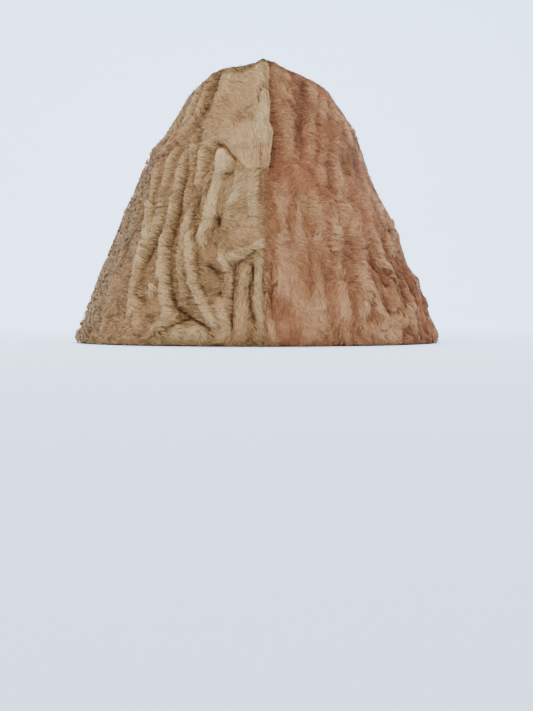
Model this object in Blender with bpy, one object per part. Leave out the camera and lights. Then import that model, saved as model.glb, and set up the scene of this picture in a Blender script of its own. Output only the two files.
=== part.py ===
"""Karakul cap of pelt, as it stands on its rim: two ribbed side panels sewn together
at the front and the back, a creased insert between their folded top edges, and a dark
lining that stands on the pelt turned in at the rim.

+Z is up, the wearer looks along -Y, and the origin is on the table at the middle of the
rim. Run it with: blender --background --python part.py
"""

import math

import bmesh
import bpy
from mathutils import Vector

MM = 0.001

# The form of the cap, over the pelt
RIM_HALF_WIDTH = 89.0 * MM
RIM_HALF_LENGTH = 100.5 * MM
RIDGE_HALF_WIDTH = 34.0 * MM
RIDGE_HALF_LENGTH = 74.0 * MM
SHOULDER = 6.0 * MM          # how much the sides tuck in above the height share of about 0.8
FRONT_HEIGHT = 124.0 * MM
MIDDLE_HEIGHT = 119.0 * MM
BACK_HEIGHT = 122.0 * MM
RIDGE_SHARPNESS = 0.45       # 0 leaves the ends of the ridge round, 1 makes them sharp corners

# Thicknesses and clearances
PELT = 3.0 * MM
HEM_HEIGHT = 18.0 * MM
HEM_INSET = 6.4 * MM         # pelt folded double
LINING = 1.2 * MM
SEAM_GAP = 0.3 * MM
INSERT_GAP = 0.4 * MM
LINING_GAP = 0.7 * MM
CEILING_HANG = 1.2 * MM      # the cloth hangs this much lower still under the insert

# The fold along the top edge of a panel, from the wall to the seam of the insert
FOLD_SHARE = 0.8             # the seam lies at this share of the ridge's half width
FOLD_WIDTH = 3.0 * MM        # less this much
FOLD_FULL_FROM = 8.0 * MM    # half width of the ridge from which the fold has its full drop
UNDER_FOLD = 0.6             # its underside turns this share of the way out from the seam
UNDER_DROP = 0.6 * MM
CREASE_STEEPNESS = 0.9       # depth of the crease over the half width of the insert
CREASE_CURVE = 1.5           # puffs out the two sides of the crease
TIP_SHARE = 0.4              # the insert's two tips are cut back to this share of their width

# How far each side of the cap bellies out from the plain form, in mm at height shares
LEFT_BULGES = (
    # up, out
    (0.00, -0.4),
    (0.14, -0.8),
    (0.30, 0.0),
    (0.46, 0.0),
    (0.54, 0.5),
    (0.62, 0.2),
    (0.70, 0.9),
    (0.79, 1.8),
    (0.86, -1.2),
    (0.92, -0.6),
    (1.00, 0.0),
)
RIGHT_BULGES = (
    # up, out
    (0.00, -0.5),
    (0.09, -0.9),
    (0.19, 0.4),
    (0.25, 0.8),
    (0.33, -1.2),
    (0.48, 0.2),
    (0.60, -1.0),
    (0.68, -0.8),
    (0.80, 1.2),
    (0.88, 1.9),
    (1.00, 2.5),
)
# The fold of the left panel is puffed up near the front: place round, reach round and rise
PUFF_PLACE = 0.235
PUFF_REACH = 0.085
PUFF_RISE = 3.3 * MM

# Resolution
WALL_ROWS = 11
INNER_ROWS = (0.94, 0.84, 0.70, 0.52, 0.36, 0.22)
STEPS_PER_RIB = 4
INSERT_SECTIONS = 20
INSERT_STEPS = 8
LINING_SECTIONS = 24

# Rows at the rim of the outside, in mm: height and inset
RIM_ROWS = (
    # height, inset
    (0.0, 2.4),
    (1.2, 0.7),
    (4.0, 0.0),
)

# The fold, from the wall to the insert: share of the way across, and drop below the ridge in mm
FOLD_ROWS = (
    # across, drop
    (0.00, 2.5),
    (0.30, 0.4),
    (0.65, 0.0),
    (1.00, 1.6),
)

# The hem and the foot of the panel's inside, in mm, from its top down
HEM_ROWS = (
    # height, inset
    (HEM_HEIGHT / MM, PELT / MM),
    (HEM_HEIGHT / MM, HEM_INSET / MM),
    (4.0, HEM_INSET / MM + 0.2),
    (1.0, HEM_INSET / MM - 0.3),
    (0.0, HEM_INSET / MM - 1.4),
)

# Ribs of the curl that the front of the cap shows. A rib's place is in percent of the way
# round its panel, from the front seam to the back one, at the ridge, half way up and at
# the rim. It stands proud between two height shares, by its crest in mm.
LEFT_RIBS = (
    # ridge, half, rim, crest, from, to
    (5.0, 3.0, 0.9, 1.1, 0.00, 0.62),
    (9.0, 6.3, 3.6, 1.5, 0.00, 0.62),
    (11.8, 9.4, 5.6, 1.6, 0.02, 0.64),
    (15.5, 14.1, 7.4, 1.8, 0.36, 0.72),
    (20.5, 18.7, 9.0, 2.0, 0.06, 0.74),
    (24.0, 21.2, 12.0, 1.3, 0.46, 0.80),
    (27.0, 23.6, 15.5, 1.9, 0.08, 0.74),
    (33.5, 27.8, 24.0, 1.9, 0.02, 0.78),
    (41.0, 31.8, 29.0, 1.5, 0.40, 0.78),
    (47.0, 36.6, 34.0, 1.1, 0.30, 0.74),
)
RIGHT_RIBS = (
    # ridge, half, rim, crest, from, to
    (5.6, 2.6, 0.9, 0.8, 0.00, 1.00),
    (12.5, 6.4, 3.2, 0.9, 0.00, 0.95),
    (18.5, 10.8, 6.4, 1.1, 0.00, 1.00),
    (24.0, 15.6, 9.9, 1.0, 0.00, 0.95),
    (29.0, 20.4, 14.2, 1.2, 0.00, 1.00),
    (33.5, 25.0, 18.2, 1.3, 0.00, 0.90),
    (38.0, 29.8, 23.0, 1.5, 0.00, 0.80),
    (42.5, 35.0, 28.2, 1.6, 0.00, 0.62),
    (47.0, 40.0, 33.4, 1.3, 0.02, 0.60),
)
# Behind those, ribs of the same kind run on to the back seam
BACK_RIB_PITCH = 6.2         # percent of the way round
BACK_RIB_WANDER = 0.6
BACK_SEAM_RIB = 98.0         # the rib at the back seam
BACK_RIB_CREST = 1.5


def material(name, colour, roughness):
    """A plain Principled material."""
    made = bpy.data.materials.new(name)
    made.use_nodes = True
    shader = made.node_tree.nodes["Principled BSDF"]
    shader.inputs["Base Color"].default_value = (*colour, 1.0)
    shader.inputs["Roughness"].default_value = roughness
    shader.inputs["Metallic"].default_value = 0.0
    return made


# The form. t runs round a panel from the front seam at 0 to the back seam at 1, and v up
# the wall from the rim at 0 to the ridge at 1. These give either half as it would stand
# at +X. side is 1 for the right panel and -1 for the left one.

def half_width(v):
    tuck = SHOULDER * v**6
    return RIM_HALF_WIDTH - (RIM_HALF_WIDTH - RIDGE_HALF_WIDTH - SHOULDER) * v - tuck


def half_length(v):
    return RIM_HALF_LENGTH - (RIM_HALF_LENGTH - RIDGE_HALF_LENGTH) * v**1.8


def ridge_height(t):
    end = FRONT_HEIGHT if t < 0.5 else BACK_HEIGHT
    return MIDDLE_HEIGHT + (end - MIDDLE_HEIGHT) * math.cos(math.pi * t) ** 2


def turn(t, v):
    """The share of its half width at which the form passes a place round it."""
    sharpness = 1.0 + RIDGE_SHARPNESS * v**1.2
    return math.sin(math.pi * t) ** sharpness


def across(t, v, inset=0.0):
    """Distance of the plain form from the middle plane."""
    return (half_width(v) - inset) * turn(t, v)


def bulge(side, v):
    """How far a side bellies out at a height, smooth between the rows of its table."""
    rows = RIGHT_BULGES if side == 1 else LEFT_BULGES
    for (low, low_out), (high, high_out) in zip(rows, rows[1:]):
        if v <= high:
            break
    rise = min(1.0, (v - low) / (high - low))
    rise = rise * rise * (3.0 - 2.0 * rise)
    return (low_out + (high_out - low_out) * rise) * MM


def belly(side, t, v, inset=0.0):
    """Distance of a side from the middle plane."""
    return across(t, v, inset) + bulge(side, v) * turn(t, v)


def along(t, v, inset=0.0):
    """Place of the form from front to back."""
    return -(half_length(v) - inset) * math.cos(math.pi * t)


def fold_drop(t, drop):
    """Drop below the ridge, which fades out where the two ridges meet."""
    return drop * min(1.0, across(t, 1.0) / FOLD_FULL_FROM)


def puff(side, t):
    """How much higher than the plain ridge a fold is puffed up."""
    if side == 1:
        return 0.0
    return fold_drop(t, PUFF_RISE * math.exp(-(((t - PUFF_PLACE) / PUFF_REACH) ** 2)))


def wall_top(side, t):
    return ridge_height(t) - fold_drop(t, FOLD_ROWS[0][1] * MM) + puff(side, t)


def wall_point(side, t, v, inset=0.0):
    x = max(belly(side, t, v, inset), SEAM_GAP / 2)
    return Vector((x, along(t, v, inset), v * wall_top(side, t)))


def wall_normal(side, t, v):
    step = 0.01
    t0, t1 = max(t - step, 0.0), min(t + step, 1.0)
    v0, v1 = max(v - step, 0.0), min(v + step, 1.0)
    round_it = wall_point(side, t1, v) - wall_point(side, t0, v)
    up_it = wall_point(side, t, v1) - wall_point(side, t, v0)
    return round_it.cross(up_it).normalized()


def seam_across(t):
    """Where the fold ends, at the seam of the insert."""
    return max(SEAM_GAP / 2, FOLD_SHARE * across(t, 1.0) - FOLD_WIDTH)


def seam_height(t):
    return ridge_height(t) - fold_drop(t, FOLD_ROWS[-1][1] * MM)


# The ribs

def back_ribs(charted):
    """The ribs behind the charted ones, spread evenly from the last of them to the back
    seam at each of the three heights."""
    ends = charted[-1][:3]
    count = round((BACK_SEAM_RIB - ends[1]) / BACK_RIB_PITCH)
    rows = []
    for i in range(1, count):
        places = [end + (BACK_SEAM_RIB - end) * i / count for end in ends]
        places[0] += BACK_RIB_WANDER * math.sin(2.4 * i)
        crest = BACK_RIB_CREST * (0.85 + 0.3 * math.sin(1.7 * i + 1.0))
        low = 0.10 * (1.0 + math.sin(2.1 * i))
        high = 0.86 + 0.07 * math.sin(1.3 * i)
        rows.append((*places, crest, low, high))
    return rows


def rib_place(rib, v):
    """Where a rib runs at a height: the parabola through its three places."""
    ridge, half, rim = (x / 100.0 for x in rib[:3])
    return (
        rim * (1.0 - v) * (1.0 - 2.0 * v)
        + half * 4.0 * v * (1.0 - v)
        + ridge * v * (2.0 * v - 1.0)
    )


def rib_crest(rib, v):
    """How proud a rib stands at a height: full between its two ends, fading beyond them."""
    fade = 0.12
    crest, low, high = rib[3:]
    up = min(1.0, max(0.0, (v - low + fade) / fade))
    down = min(1.0, max(0.0, (high + fade - v) / fade))
    share = min(up, down)
    return crest * MM * share * share * (3.0 - 2.0 * share)


def columns_of(ribs):
    """The columns of a panel: (place, crest) as functions of the height share. Each rib
    has STEPS_PER_RIB of them, from the valley before it to the valley after it."""
    def valley(k, v):
        if k == 0:
            return 0.0
        if k == len(ribs):
            return 1.0
        return (rib_place(ribs[k - 1], v) + rib_place(ribs[k], v)) / 2.0

    def column(k, phase):
        def place(v):
            before, top, after = valley(k, v), rib_place(ribs[k], v), valley(k + 1, v)
            if phase <= 0.5:
                return before + (top - before) * 2.0 * phase
            return top + (after - top) * (2.0 * phase - 1.0)

        def crest(v):
            return rib_crest(ribs[k], v) * math.sin(math.pi * phase) ** 1.5

        return place, crest

    columns = [
        column(k, step / STEPS_PER_RIB)
        for k in range(len(ribs))
        for step in range(STEPS_PER_RIB)
    ]
    columns.append(column(len(ribs) - 1, 1.0))
    return columns


# Profiles of the walls, as lists of points at one place round the cap

def outer_profile(side, place, crest):
    """The outside of a panel, from the rim over the ridge to the seam of the insert."""
    points = []
    heights = [(z * MM, inset * MM) for z, inset in RIM_ROWS]
    lowest = heights[-1][0] / MIDDLE_HEIGHT
    for z, inset in heights[:-1]:
        v = z / MIDDLE_HEIGHT
        point = wall_point(side, place(v), v, inset)
        points.append(Vector((point.x, point.y, z)))
    for row in range(WALL_ROWS + 1):
        v = lowest + (1.0 - lowest) * row / WALL_ROWS
        t = place(v)
        rim_share = min(1.0, row / 1.0)
        height = crest(v) * (0.5 + 0.5 * rim_share)
        points.append(wall_point(side, t, v) + wall_normal(side, t, v) * height)
    t = place(1.0)
    wall_x, seam_x = belly(side, t, 1.0), seam_across(t)
    for share, drop in FOLD_ROWS[1:]:
        x = max(SEAM_GAP / 2, wall_x + (seam_x - wall_x) * share)
        z = ridge_height(t) - fold_drop(t, drop * MM) + puff(side, t) * (1.0 - share)
        points.append(Vector((x, along(t, 1.0), z)))
    return points


def roof_profile(side, t, clear=0.0, hang=0.0):
    """The inside under the fold, from the seam of the insert to the top of the wall. What
    hangs loose keeps that much lower under the seam."""
    inset = PELT + clear
    y = along(t, 1.0, inset)
    seam_x = max(seam_across(t) - clear, SEAM_GAP / 2)
    wall_x = max(belly(side, t, 1.0, inset), seam_x)
    under_x = seam_x + UNDER_FOLD * (wall_x - seam_x)
    under_z = ridge_height(t) - inset - UNDER_DROP
    return [
        Vector((seam_x, y, seam_height(t) - inset - hang)),
        Vector((under_x, y, under_z)),
    ]


def inner_wall_profile(side, place, clear):
    """The inside of the wall, from under the fold to a little above the hem."""
    points = []
    for v in INNER_ROWS:
        points.append(wall_point(side, place(v), v, PELT + clear))
    return points


def hem_profile(side, place):
    """The turned-in hem, from its top down to the table."""
    points = []
    for height, inset in HEM_ROWS:
        v = height * MM / MIDDLE_HEIGHT
        point = wall_point(side, place(v), v, inset * MM)
        points.append(Vector((point.x, point.y, height * MM)))
    return points


def mirrored(points):
    return [Vector((-point.x, point.y, point.z)) for point in points]


def loft(name, sections, finish, collection, capped=True):
    """A closed solid through sections of the same number of points. Ends that don't close
    by themselves are capped."""
    shape = bmesh.new()
    rings = [[shape.verts.new(point) for point in section] for section in sections]
    for one, two in zip(rings, rings[1:]):
        count = len(one)
        for i in range(count):
            j = (i + 1) % count
            shape.faces.new((one[i], one[j], two[j], two[i]))
    if capped:
        shape.faces.new(reversed(rings[0]))
        shape.faces.new(rings[-1])
    bmesh.ops.remove_doubles(shape, verts=shape.verts, dist=0.02 * MM)
    bmesh.ops.triangulate(shape, faces=shape.faces)
    bmesh.ops.recalc_face_normals(shape, faces=shape.faces)
    mesh = bpy.data.meshes.new(name)
    shape.to_mesh(mesh)
    shape.free()
    mesh.materials.append(finish)
    mesh.shade_smooth()
    mesh.set_sharp_from_angle(angle=math.radians(50))
    made = bpy.data.objects.new(name, mesh)
    collection.objects.link(made)
    return made


def side_panel(name, ribs, side, finish, collection):
    """One half of the cap's wall, at +X for side 1 and at -X for side -1."""
    sections = []
    for place, crest in columns_of(ribs):
        section = (
            outer_profile(side, place, crest)
            + roof_profile(side, place(1.0))
            + inner_wall_profile(side, place, 0.0)
            + hem_profile(side, place)
        )
        sections.append(section if side == 1 else mirrored(section))
    return loft(name, sections, finish, collection)


def crease_dip(reach, share):
    """How far the insert dips at a share of its half width, from its middle to its edge."""
    return CREASE_STEEPNESS * reach * (1.0 - abs(share)) ** CREASE_CURVE


def insert_ends():
    """The places t between which the insert is wide enough to be a piece of pelt."""
    narrowest = 0.8 * MM
    t = 0.0
    while seam_across(t) - INSERT_GAP < narrowest:
        t += 0.001
    return t, 1.0 - t


def crown_insert(finish, collection):
    """The lens-shaped piece between the two folds, creased down its middle."""
    first, last = insert_ends()
    sections = []
    for i in range(INSERT_SECTIONS + 1):
        t = first + (last - first) * i / INSERT_SECTIONS
        reach = seam_across(t) - INSERT_GAP
        if i in (0, INSERT_SECTIONS):
            reach *= TIP_SHARE
        top, bottom = [], []
        for k in range(INSERT_STEPS + 1):
            share = 2.0 * k / INSERT_STEPS - 1.0
            z = seam_height(t) - crease_dip(reach, share)
            top.append(Vector((share * reach, along(t, 1.0), z)))
            bottom.append(Vector((share * reach, along(t, 1.0, PELT), z - PELT)))
        sections.append(top + bottom[::-1])
    return loft("crown_insert", sections, finish, collection)


def lining_profile(side, t, depth_in):
    """One side of the cloth at one place, from the middle of the ceiling down the wall to
    the foot. depth_in is 0 for the face next to the pelt."""
    clear = LINING_GAP + depth_in
    reach = max(seam_across(t) - INSERT_GAP, 0.0)
    y = along(t, 1.0, PELT + clear)
    points = []
    for k in range(INSERT_STEPS // 2):
        share = 2.0 * k / INSERT_STEPS
        z = seam_height(t) - crease_dip(reach, share) - PELT - clear - CEILING_HANG
        points.append(Vector((share * reach, y, z)))
    points += roof_profile(side, t, clear, CEILING_HANG)
    points += inner_wall_profile(side, lambda v: t, clear)
    foot = wall_point(side, t, HEM_HEIGHT / MIDDLE_HEIGHT, PELT + clear)
    foot.z = HEM_HEIGHT + LINING_GAP
    points.append(foot)
    if t in (0.0, 1.0):
        for point in points:
            point.x = 0.0
    return points


def lining(finish, collection):
    """The cloth inside: a wall that stands on the hem and a ceiling that follows the
    crease. Its two halves close on each other at the front and the back."""
    sections = []
    for i in range(LINING_SECTIONS + 1):
        t = i / LINING_SECTIONS
        right, right_in = lining_profile(1, t, 0.0), lining_profile(1, t, LINING)
        left, left_in = lining_profile(-1, t, 0.0), lining_profile(-1, t, LINING)
        sections.append(
            mirrored(left)[:0:-1] + right + right_in[::-1] + mirrored(left_in)[1:]
        )
    return loft("lining", sections, finish, collection, capped=False)


def main():
    for old in list(bpy.data.objects):
        bpy.data.objects.remove(old, do_unlink=True)
    cap = bpy.data.collections.new("karakul_cap")
    bpy.context.scene.collection.children.link(cap)

    beige_pelt = material("beige_pelt", (0.42, 0.29, 0.18), 0.75)
    russet_pelt = material("russet_pelt", (0.36, 0.21, 0.13), 0.75)
    crown_pelt = material("crown_pelt", (0.38, 0.25, 0.15), 0.75)
    dark_cloth = material("dark_cloth", (0.012, 0.012, 0.018), 0.6)

    left = list(LEFT_RIBS) + back_ribs(LEFT_RIBS)
    right = list(RIGHT_RIBS) + back_ribs(RIGHT_RIBS)
    side_panel("left_panel", left, -1, beige_pelt, cap)
    side_panel("right_panel", right, 1, russet_pelt, cap)
    crown_insert(crown_pelt, cap)
    lining(dark_cloth, cap)


main()
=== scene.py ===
# %% [markdown]
# # A karakul cap
# A karakul cap is sewn from the pelts of young lambs, whose coat has not yet grown out:
# the hair is short and lies flat, and the skin is covered with curls that run together
# into ribs. Two pieces of pelt make its sides. They meet in a seam over the forehead and
# another at the nape, and lean in to a long ridge, where a third piece is set in between
# them and creased so that the cap folds flat. The rim is turned in and hemmed, and cloth
# lines the inside. The cap stands on its rim here, as it would on a shelf.

# %% Open the frame
import math

import bpy
import numpy as np
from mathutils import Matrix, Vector


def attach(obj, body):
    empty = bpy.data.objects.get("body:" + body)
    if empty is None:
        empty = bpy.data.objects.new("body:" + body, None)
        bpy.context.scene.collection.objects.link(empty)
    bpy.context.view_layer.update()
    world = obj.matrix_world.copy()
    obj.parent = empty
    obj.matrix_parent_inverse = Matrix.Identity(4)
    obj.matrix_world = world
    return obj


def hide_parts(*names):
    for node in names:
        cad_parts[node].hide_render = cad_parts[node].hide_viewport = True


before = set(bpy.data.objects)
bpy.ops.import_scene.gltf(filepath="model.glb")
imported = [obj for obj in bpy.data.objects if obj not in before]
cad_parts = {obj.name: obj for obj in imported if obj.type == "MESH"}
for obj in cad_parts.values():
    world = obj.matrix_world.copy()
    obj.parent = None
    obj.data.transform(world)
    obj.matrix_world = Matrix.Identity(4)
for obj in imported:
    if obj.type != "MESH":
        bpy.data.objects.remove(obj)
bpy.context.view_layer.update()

MM = 0.001
SEED = 11

# %% [markdown]
# ## The form
# Before any hair, the cap is a plain form: an oval rim that narrows on its way up to a
# long ridge with pointed ends. A mesh shaped by hand and smoothed could give that too, but
# it couldn't say where on it a rib or a hair stands. A formula can, so the form is one
# here, with the same few sizes that cut the pattern. `a` runs round one side from the
# front seam at 0 to the back seam at 1, and a little beyond either it carries on over the
# other side, so that hair can be combed across a seam. `v` climbs the wall from the rim at
# 0 to the ridge at 1, and on over the fold.

# %% Sizes of the pattern
RIM_HALF_WIDTH = 89.0 * MM
RIM_HALF_LENGTH = 100.5 * MM
RIDGE_HALF_WIDTH = 34.0 * MM
RIDGE_HALF_LENGTH = 74.0 * MM
SHOULDER = 6.0 * MM          # as much of the lean comes in a round shoulder under the ridge
FRONT_HEIGHT = 124.0 * MM
MIDDLE_HEIGHT = 119.0 * MM
BACK_HEIGHT = 122.0 * MM
print("height at the front, middle and back:", FRONT_HEIGHT, MIDDLE_HEIGHT, BACK_HEIGHT, "m")

# %% [markdown]
# ## Rings from rim to ridge
# Seen from above, the rim is an oval and the ridge a leaf with two points. One formula
# gives both and every ring between them: an oval whose ends grow sharper with its height.
# Steps of an equal angle would leave wide gaps at the points, so the steps go by the width
# instead and stay even all the way round.

# %% Rings from rim to ridge
SHOULDER_POWER = 6           # the larger, the tighter the shoulder turns
LENGTH_POWER = 1.8           # the same for the front and back
RIDGE_SHARPNESS = 0.45       # how pointed the ends of the ridge are
SHARPNESS_POWER = 1.2


def half_width(v):
    v = np.clip(v, 0.0, 1.0)
    straight = RIM_HALF_WIDTH - (RIM_HALF_WIDTH - RIDGE_HALF_WIDTH - SHOULDER) * v
    return straight - SHOULDER * v**SHOULDER_POWER


def half_length(v):
    v = np.clip(v, 0.0, 1.0)
    return RIM_HALF_LENGTH - (RIM_HALF_LENGTH - RIDGE_HALF_LENGTH) * v**LENGTH_POWER


def sharpness(v):
    return 1.0 + RIDGE_SHARPNESS * np.clip(v, 0.0, 1.0) ** SHARPNESS_POWER


def oval(a, v, inset=0.0):
    """Where the form stands in plan at (a, v): how far from the middle plane, and where
    from front to back."""
    turn = np.sin(np.pi * a)
    x = (half_width(v) - inset) * turn
    reach = np.sqrt(np.maximum(0.0, 1.0 - np.abs(turn) ** (2.0 / sharpness(v))))
    y = -(half_length(v) - inset) * np.sign(np.cos(np.pi * a)) * reach
    return x, y


def share(a, v):
    """The share of the way round that ribs are placed by."""
    turn = np.sin(np.pi * a)
    angle = np.arcsin(np.minimum(1.0, np.abs(turn) ** (1.0 / sharpness(v)))) / np.pi
    return np.where(np.cos(np.pi * a) > 0, np.sign(turn) * angle, 1.0 - angle)


print("a quarter of the way round, the rim stands at", np.round(oval(0.25, 0.0), 4), "m")

# %% [markdown]
# ## Folds, bellies and a puff
# The top edge of each side is folded over toward the insert, and fades to nothing at the
# two points. A worn pelt also bellies out here and in there. A random wobble would do for
# any cap, but this one is known from the front, so each side has a short table of bellies,
# and the left fold its puff.

# %% Folds, bellies and a puff
FOLD_SHARE = 0.8             # the insert reaches this share of the ridge's half width,
FOLD_WIDTH = 3.0 * MM        # less this
FOLD_DROP = 2.5 * MM         # the fold rises this much over the top of the wall
SEAM_DROP = 1.6 * MM         # and comes down this much to the seam of the insert
FOLD_FULL_FROM = 8.0 * MM    # how far from the middle plane it has come up in full
# How far each side bellies out from the plain form, in mm at height shares
LEFT_BULGES = (
    # up, out
    (0.00, -0.4),
    (0.14, -0.8),
    (0.30, 0.0),
    (0.46, 0.0),
    (0.54, 0.5),
    (0.62, 0.2),
    (0.70, 0.9),
    (0.79, 1.8),
    (0.86, -1.2),
    (0.92, -0.6),
    (1.00, 0.0),
)
RIGHT_BULGES = (
    # up, out
    (0.00, -0.5),
    (0.09, -0.9),
    (0.19, 0.4),
    (0.25, 0.8),
    (0.33, -1.2),
    (0.48, 0.2),
    (0.60, -1.0),
    (0.68, -0.8),
    (0.80, 1.2),
    (0.88, 1.9),
    (1.00, 2.5),
)
# The left fold is puffed up near the front: place round, reach round and rise
PUFF_PLACE = 0.235
PUFF_REACH = 0.085
PUFF_RISE = 3.3 * MM


def ridge_height(a):
    lean = np.cos(np.pi * share(a, 1.0))
    end = np.where(lean > 0, FRONT_HEIGHT, BACK_HEIGHT)
    return MIDDLE_HEIGHT + (end - MIDDLE_HEIGHT) * lean**2


def fold_fade(a):
    return np.clip(np.abs(oval(a, 1.0)[0]) / FOLD_FULL_FROM, 0.0, 1.0)


def seam_across(a):
    """How far from the middle plane the insert's seam runs."""
    return np.maximum(0.0, FOLD_SHARE * np.abs(oval(a, 1.0)[0]) - FOLD_WIDTH)


def bulge(side, v):
    """How far a side bellies out at a height, smooth between the rows of its table."""
    rows = np.array(RIGHT_BULGES if side > 0 else LEFT_BULGES)
    v = np.clip(v, 0.0, 1.0)
    row = np.clip(np.searchsorted(rows[:, 0], v, side="right") - 1, 0, len(rows) - 2)
    low, high = rows[row], rows[row + 1]
    rise = (v - low[..., 0]) / (high[..., 0] - low[..., 0])
    rise = rise * rise * (3.0 - 2.0 * rise)
    return (low[..., 1] + (high[..., 1] - low[..., 1]) * rise) * MM


def puff(side, a):
    """How much higher than the plain ridge a fold is puffed up."""
    if side > 0:
        return 0.0 * a
    off = (share(a, 1.0) - PUFF_PLACE) / PUFF_REACH
    return PUFF_RISE * np.exp(-(off**2)) * fold_fade(a)


print("the insert is", round(2.0 * float(seam_across(0.5)), 4), "m wide at its middle")

# %% [markdown]
# ## The whole surface
# The parts are put together: the wall leans in from a rim with a rounded edge, turns over
# at the ridge and comes down to the insert. The direction straight out of the surface
# could be taken from mesh faces, but hair needs it between them, so it is worked out from
# two tiny steps over the formula.

# %% The whole surface
RIM_ROUND_HEIGHT = 4.0 * MM
RIM_ROUND_WIDTH = 2.4 * MM
FOLD_TOP = 1.085             # v at the seam of the insert
FOLD_TURN = 0.45             # share of the fold's width that its round edge takes up


def form(side, a, v):
    """Points of the form: up the wall, round the edge and over the fold to the insert."""
    a, v = np.broadcast_arrays(np.asarray(a, float), np.asarray(v, float))
    x, y = oval(a, v)
    x = x + bulge(side, v) * np.sin(np.pi * a)
    fade = fold_fade(a)
    puffed = puff(side, a)
    wall_top = ridge_height(a) - FOLD_DROP * fade + puffed
    z = np.clip(v, 0.0, 1.0) * wall_top
    tuck = np.clip(1.0 - z / RIM_ROUND_HEIGHT, 0.0, 1.0)
    shrink = 1.0 - RIM_ROUND_WIDTH * (1.0 - np.sqrt(1.0 - tuck**2)) / RIM_HALF_WIDTH
    x, y = x * shrink, y * shrink

    over = np.clip((v - 1.0) / (FOLD_TOP - 1.0), 0.0, 1.0)
    width = np.maximum(0.0, np.abs(x) - seam_across(a))
    rise = np.minimum(over * 2.0, 1.0) * (np.pi / 2.0)
    run = np.maximum(over * 2.0 - 1.0, 0.0)
    inward = FOLD_TURN * (1.0 - np.cos(rise)) + (1.0 - FOLD_TURN) * run
    x = np.sign(x) * (np.abs(x) - width * inward)
    z = z + fade * (FOLD_DROP * np.sin(rise) - SEAM_DROP * run**2) - puffed * inward
    return np.stack([side * x, y, z], axis=-1)


def unit(vectors):
    return vectors / np.maximum(np.linalg.norm(vectors, axis=-1, keepdims=True), 1e-12)


def normals_of(surface, a, v, step_a=0.002, step_v=0.004):
    """Unit normals of surface(a, v)."""
    round_it = surface(a + step_a, v) - surface(a - step_a, v)
    up_it = surface(a, v + step_v) - surface(a, v - step_v)
    return unit(np.cross(round_it, up_it))


def out_of_form(side, a, v):
    """Unit normals of the form, pointing out of the cap."""
    return normals_of(lambda p, q: form(side, p, q), a, v) * side


for name, a, v in (("front rim", 0.0, 0.0), ("side rim", 0.5, 0.0), ("front peak", 0.0, 1.0)):
    print(name, np.round(form(1, a, v) / MM, 1), "mm")

# %% [markdown]
# ## Smooth noise
# Nothing in a pelt is quite even. A noise texture would show that in the colour alone.
# The same unevenness has to bend the ribs and turn the hair, so it comes from one small
# function of smooth random values, read at different scales and in different layers.

# %% Smooth random values
LATTICE = 256
LAYER_ACROSS, LAYER_UP = 17.3, 41.7      # how far apart on the lattice two layers are read
NOISE_GAIN = 1.3
lattice = np.random.default_rng(SEED).uniform(-1.0, 1.0, (LATTICE, LATTICE))


def noise(x, y, layer=0):
    """Smooth noise between about -1 and 1, with features one unit across."""
    x = np.asarray(x, float) + LAYER_ACROSS * layer
    y = np.asarray(y, float) + LAYER_UP * layer
    column, row = np.floor(x).astype(int), np.floor(y).astype(int)
    fx, fy = x - column, y - row
    fx, fy = fx * fx * (3.0 - 2.0 * fx), fy * fy * (3.0 - 2.0 * fy)
    left = lattice[column % LATTICE, row % LATTICE]
    right = lattice[(column + 1) % LATTICE, row % LATTICE]
    left_up = lattice[column % LATTICE, (row + 1) % LATTICE]
    right_up = lattice[(column + 1) % LATTICE, (row + 1) % LATTICE]
    low = left + (right - left) * fx
    high = left_up + (right_up - left_up) * fx
    return NOISE_GAIN * (low + (high - low) * fy)


def ramp(x, low, high):
    """0 below low, 1 above high, and smooth between."""
    x = np.clip((x - low) / (high - low), 0.0, 1.0)
    return x * x * (3.0 - 2.0 * x)


def until(x, low, high):
    """1 below low, 0 above high, and smooth between."""
    return 1.0 - ramp(x, low, high)


print("noise at a few places:", np.round(noise(np.arange(5) * 0.37, 1.0), 2))

# %% [markdown]
# ## The ribs
# The curl of a karakul pelt lies in tubes. Hair rises at one side of a tube, goes over its
# crest and dives down at the other, so a tube catches the light along its back and the
# floor between two tubes stays dark. A wave pattern would make them all alike, as on
# corrugated card. So the front's ribs are placed one by one, as the photo has them.

# %% Ribs at the front
LEFT, RIGHT = -1, 1
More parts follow.
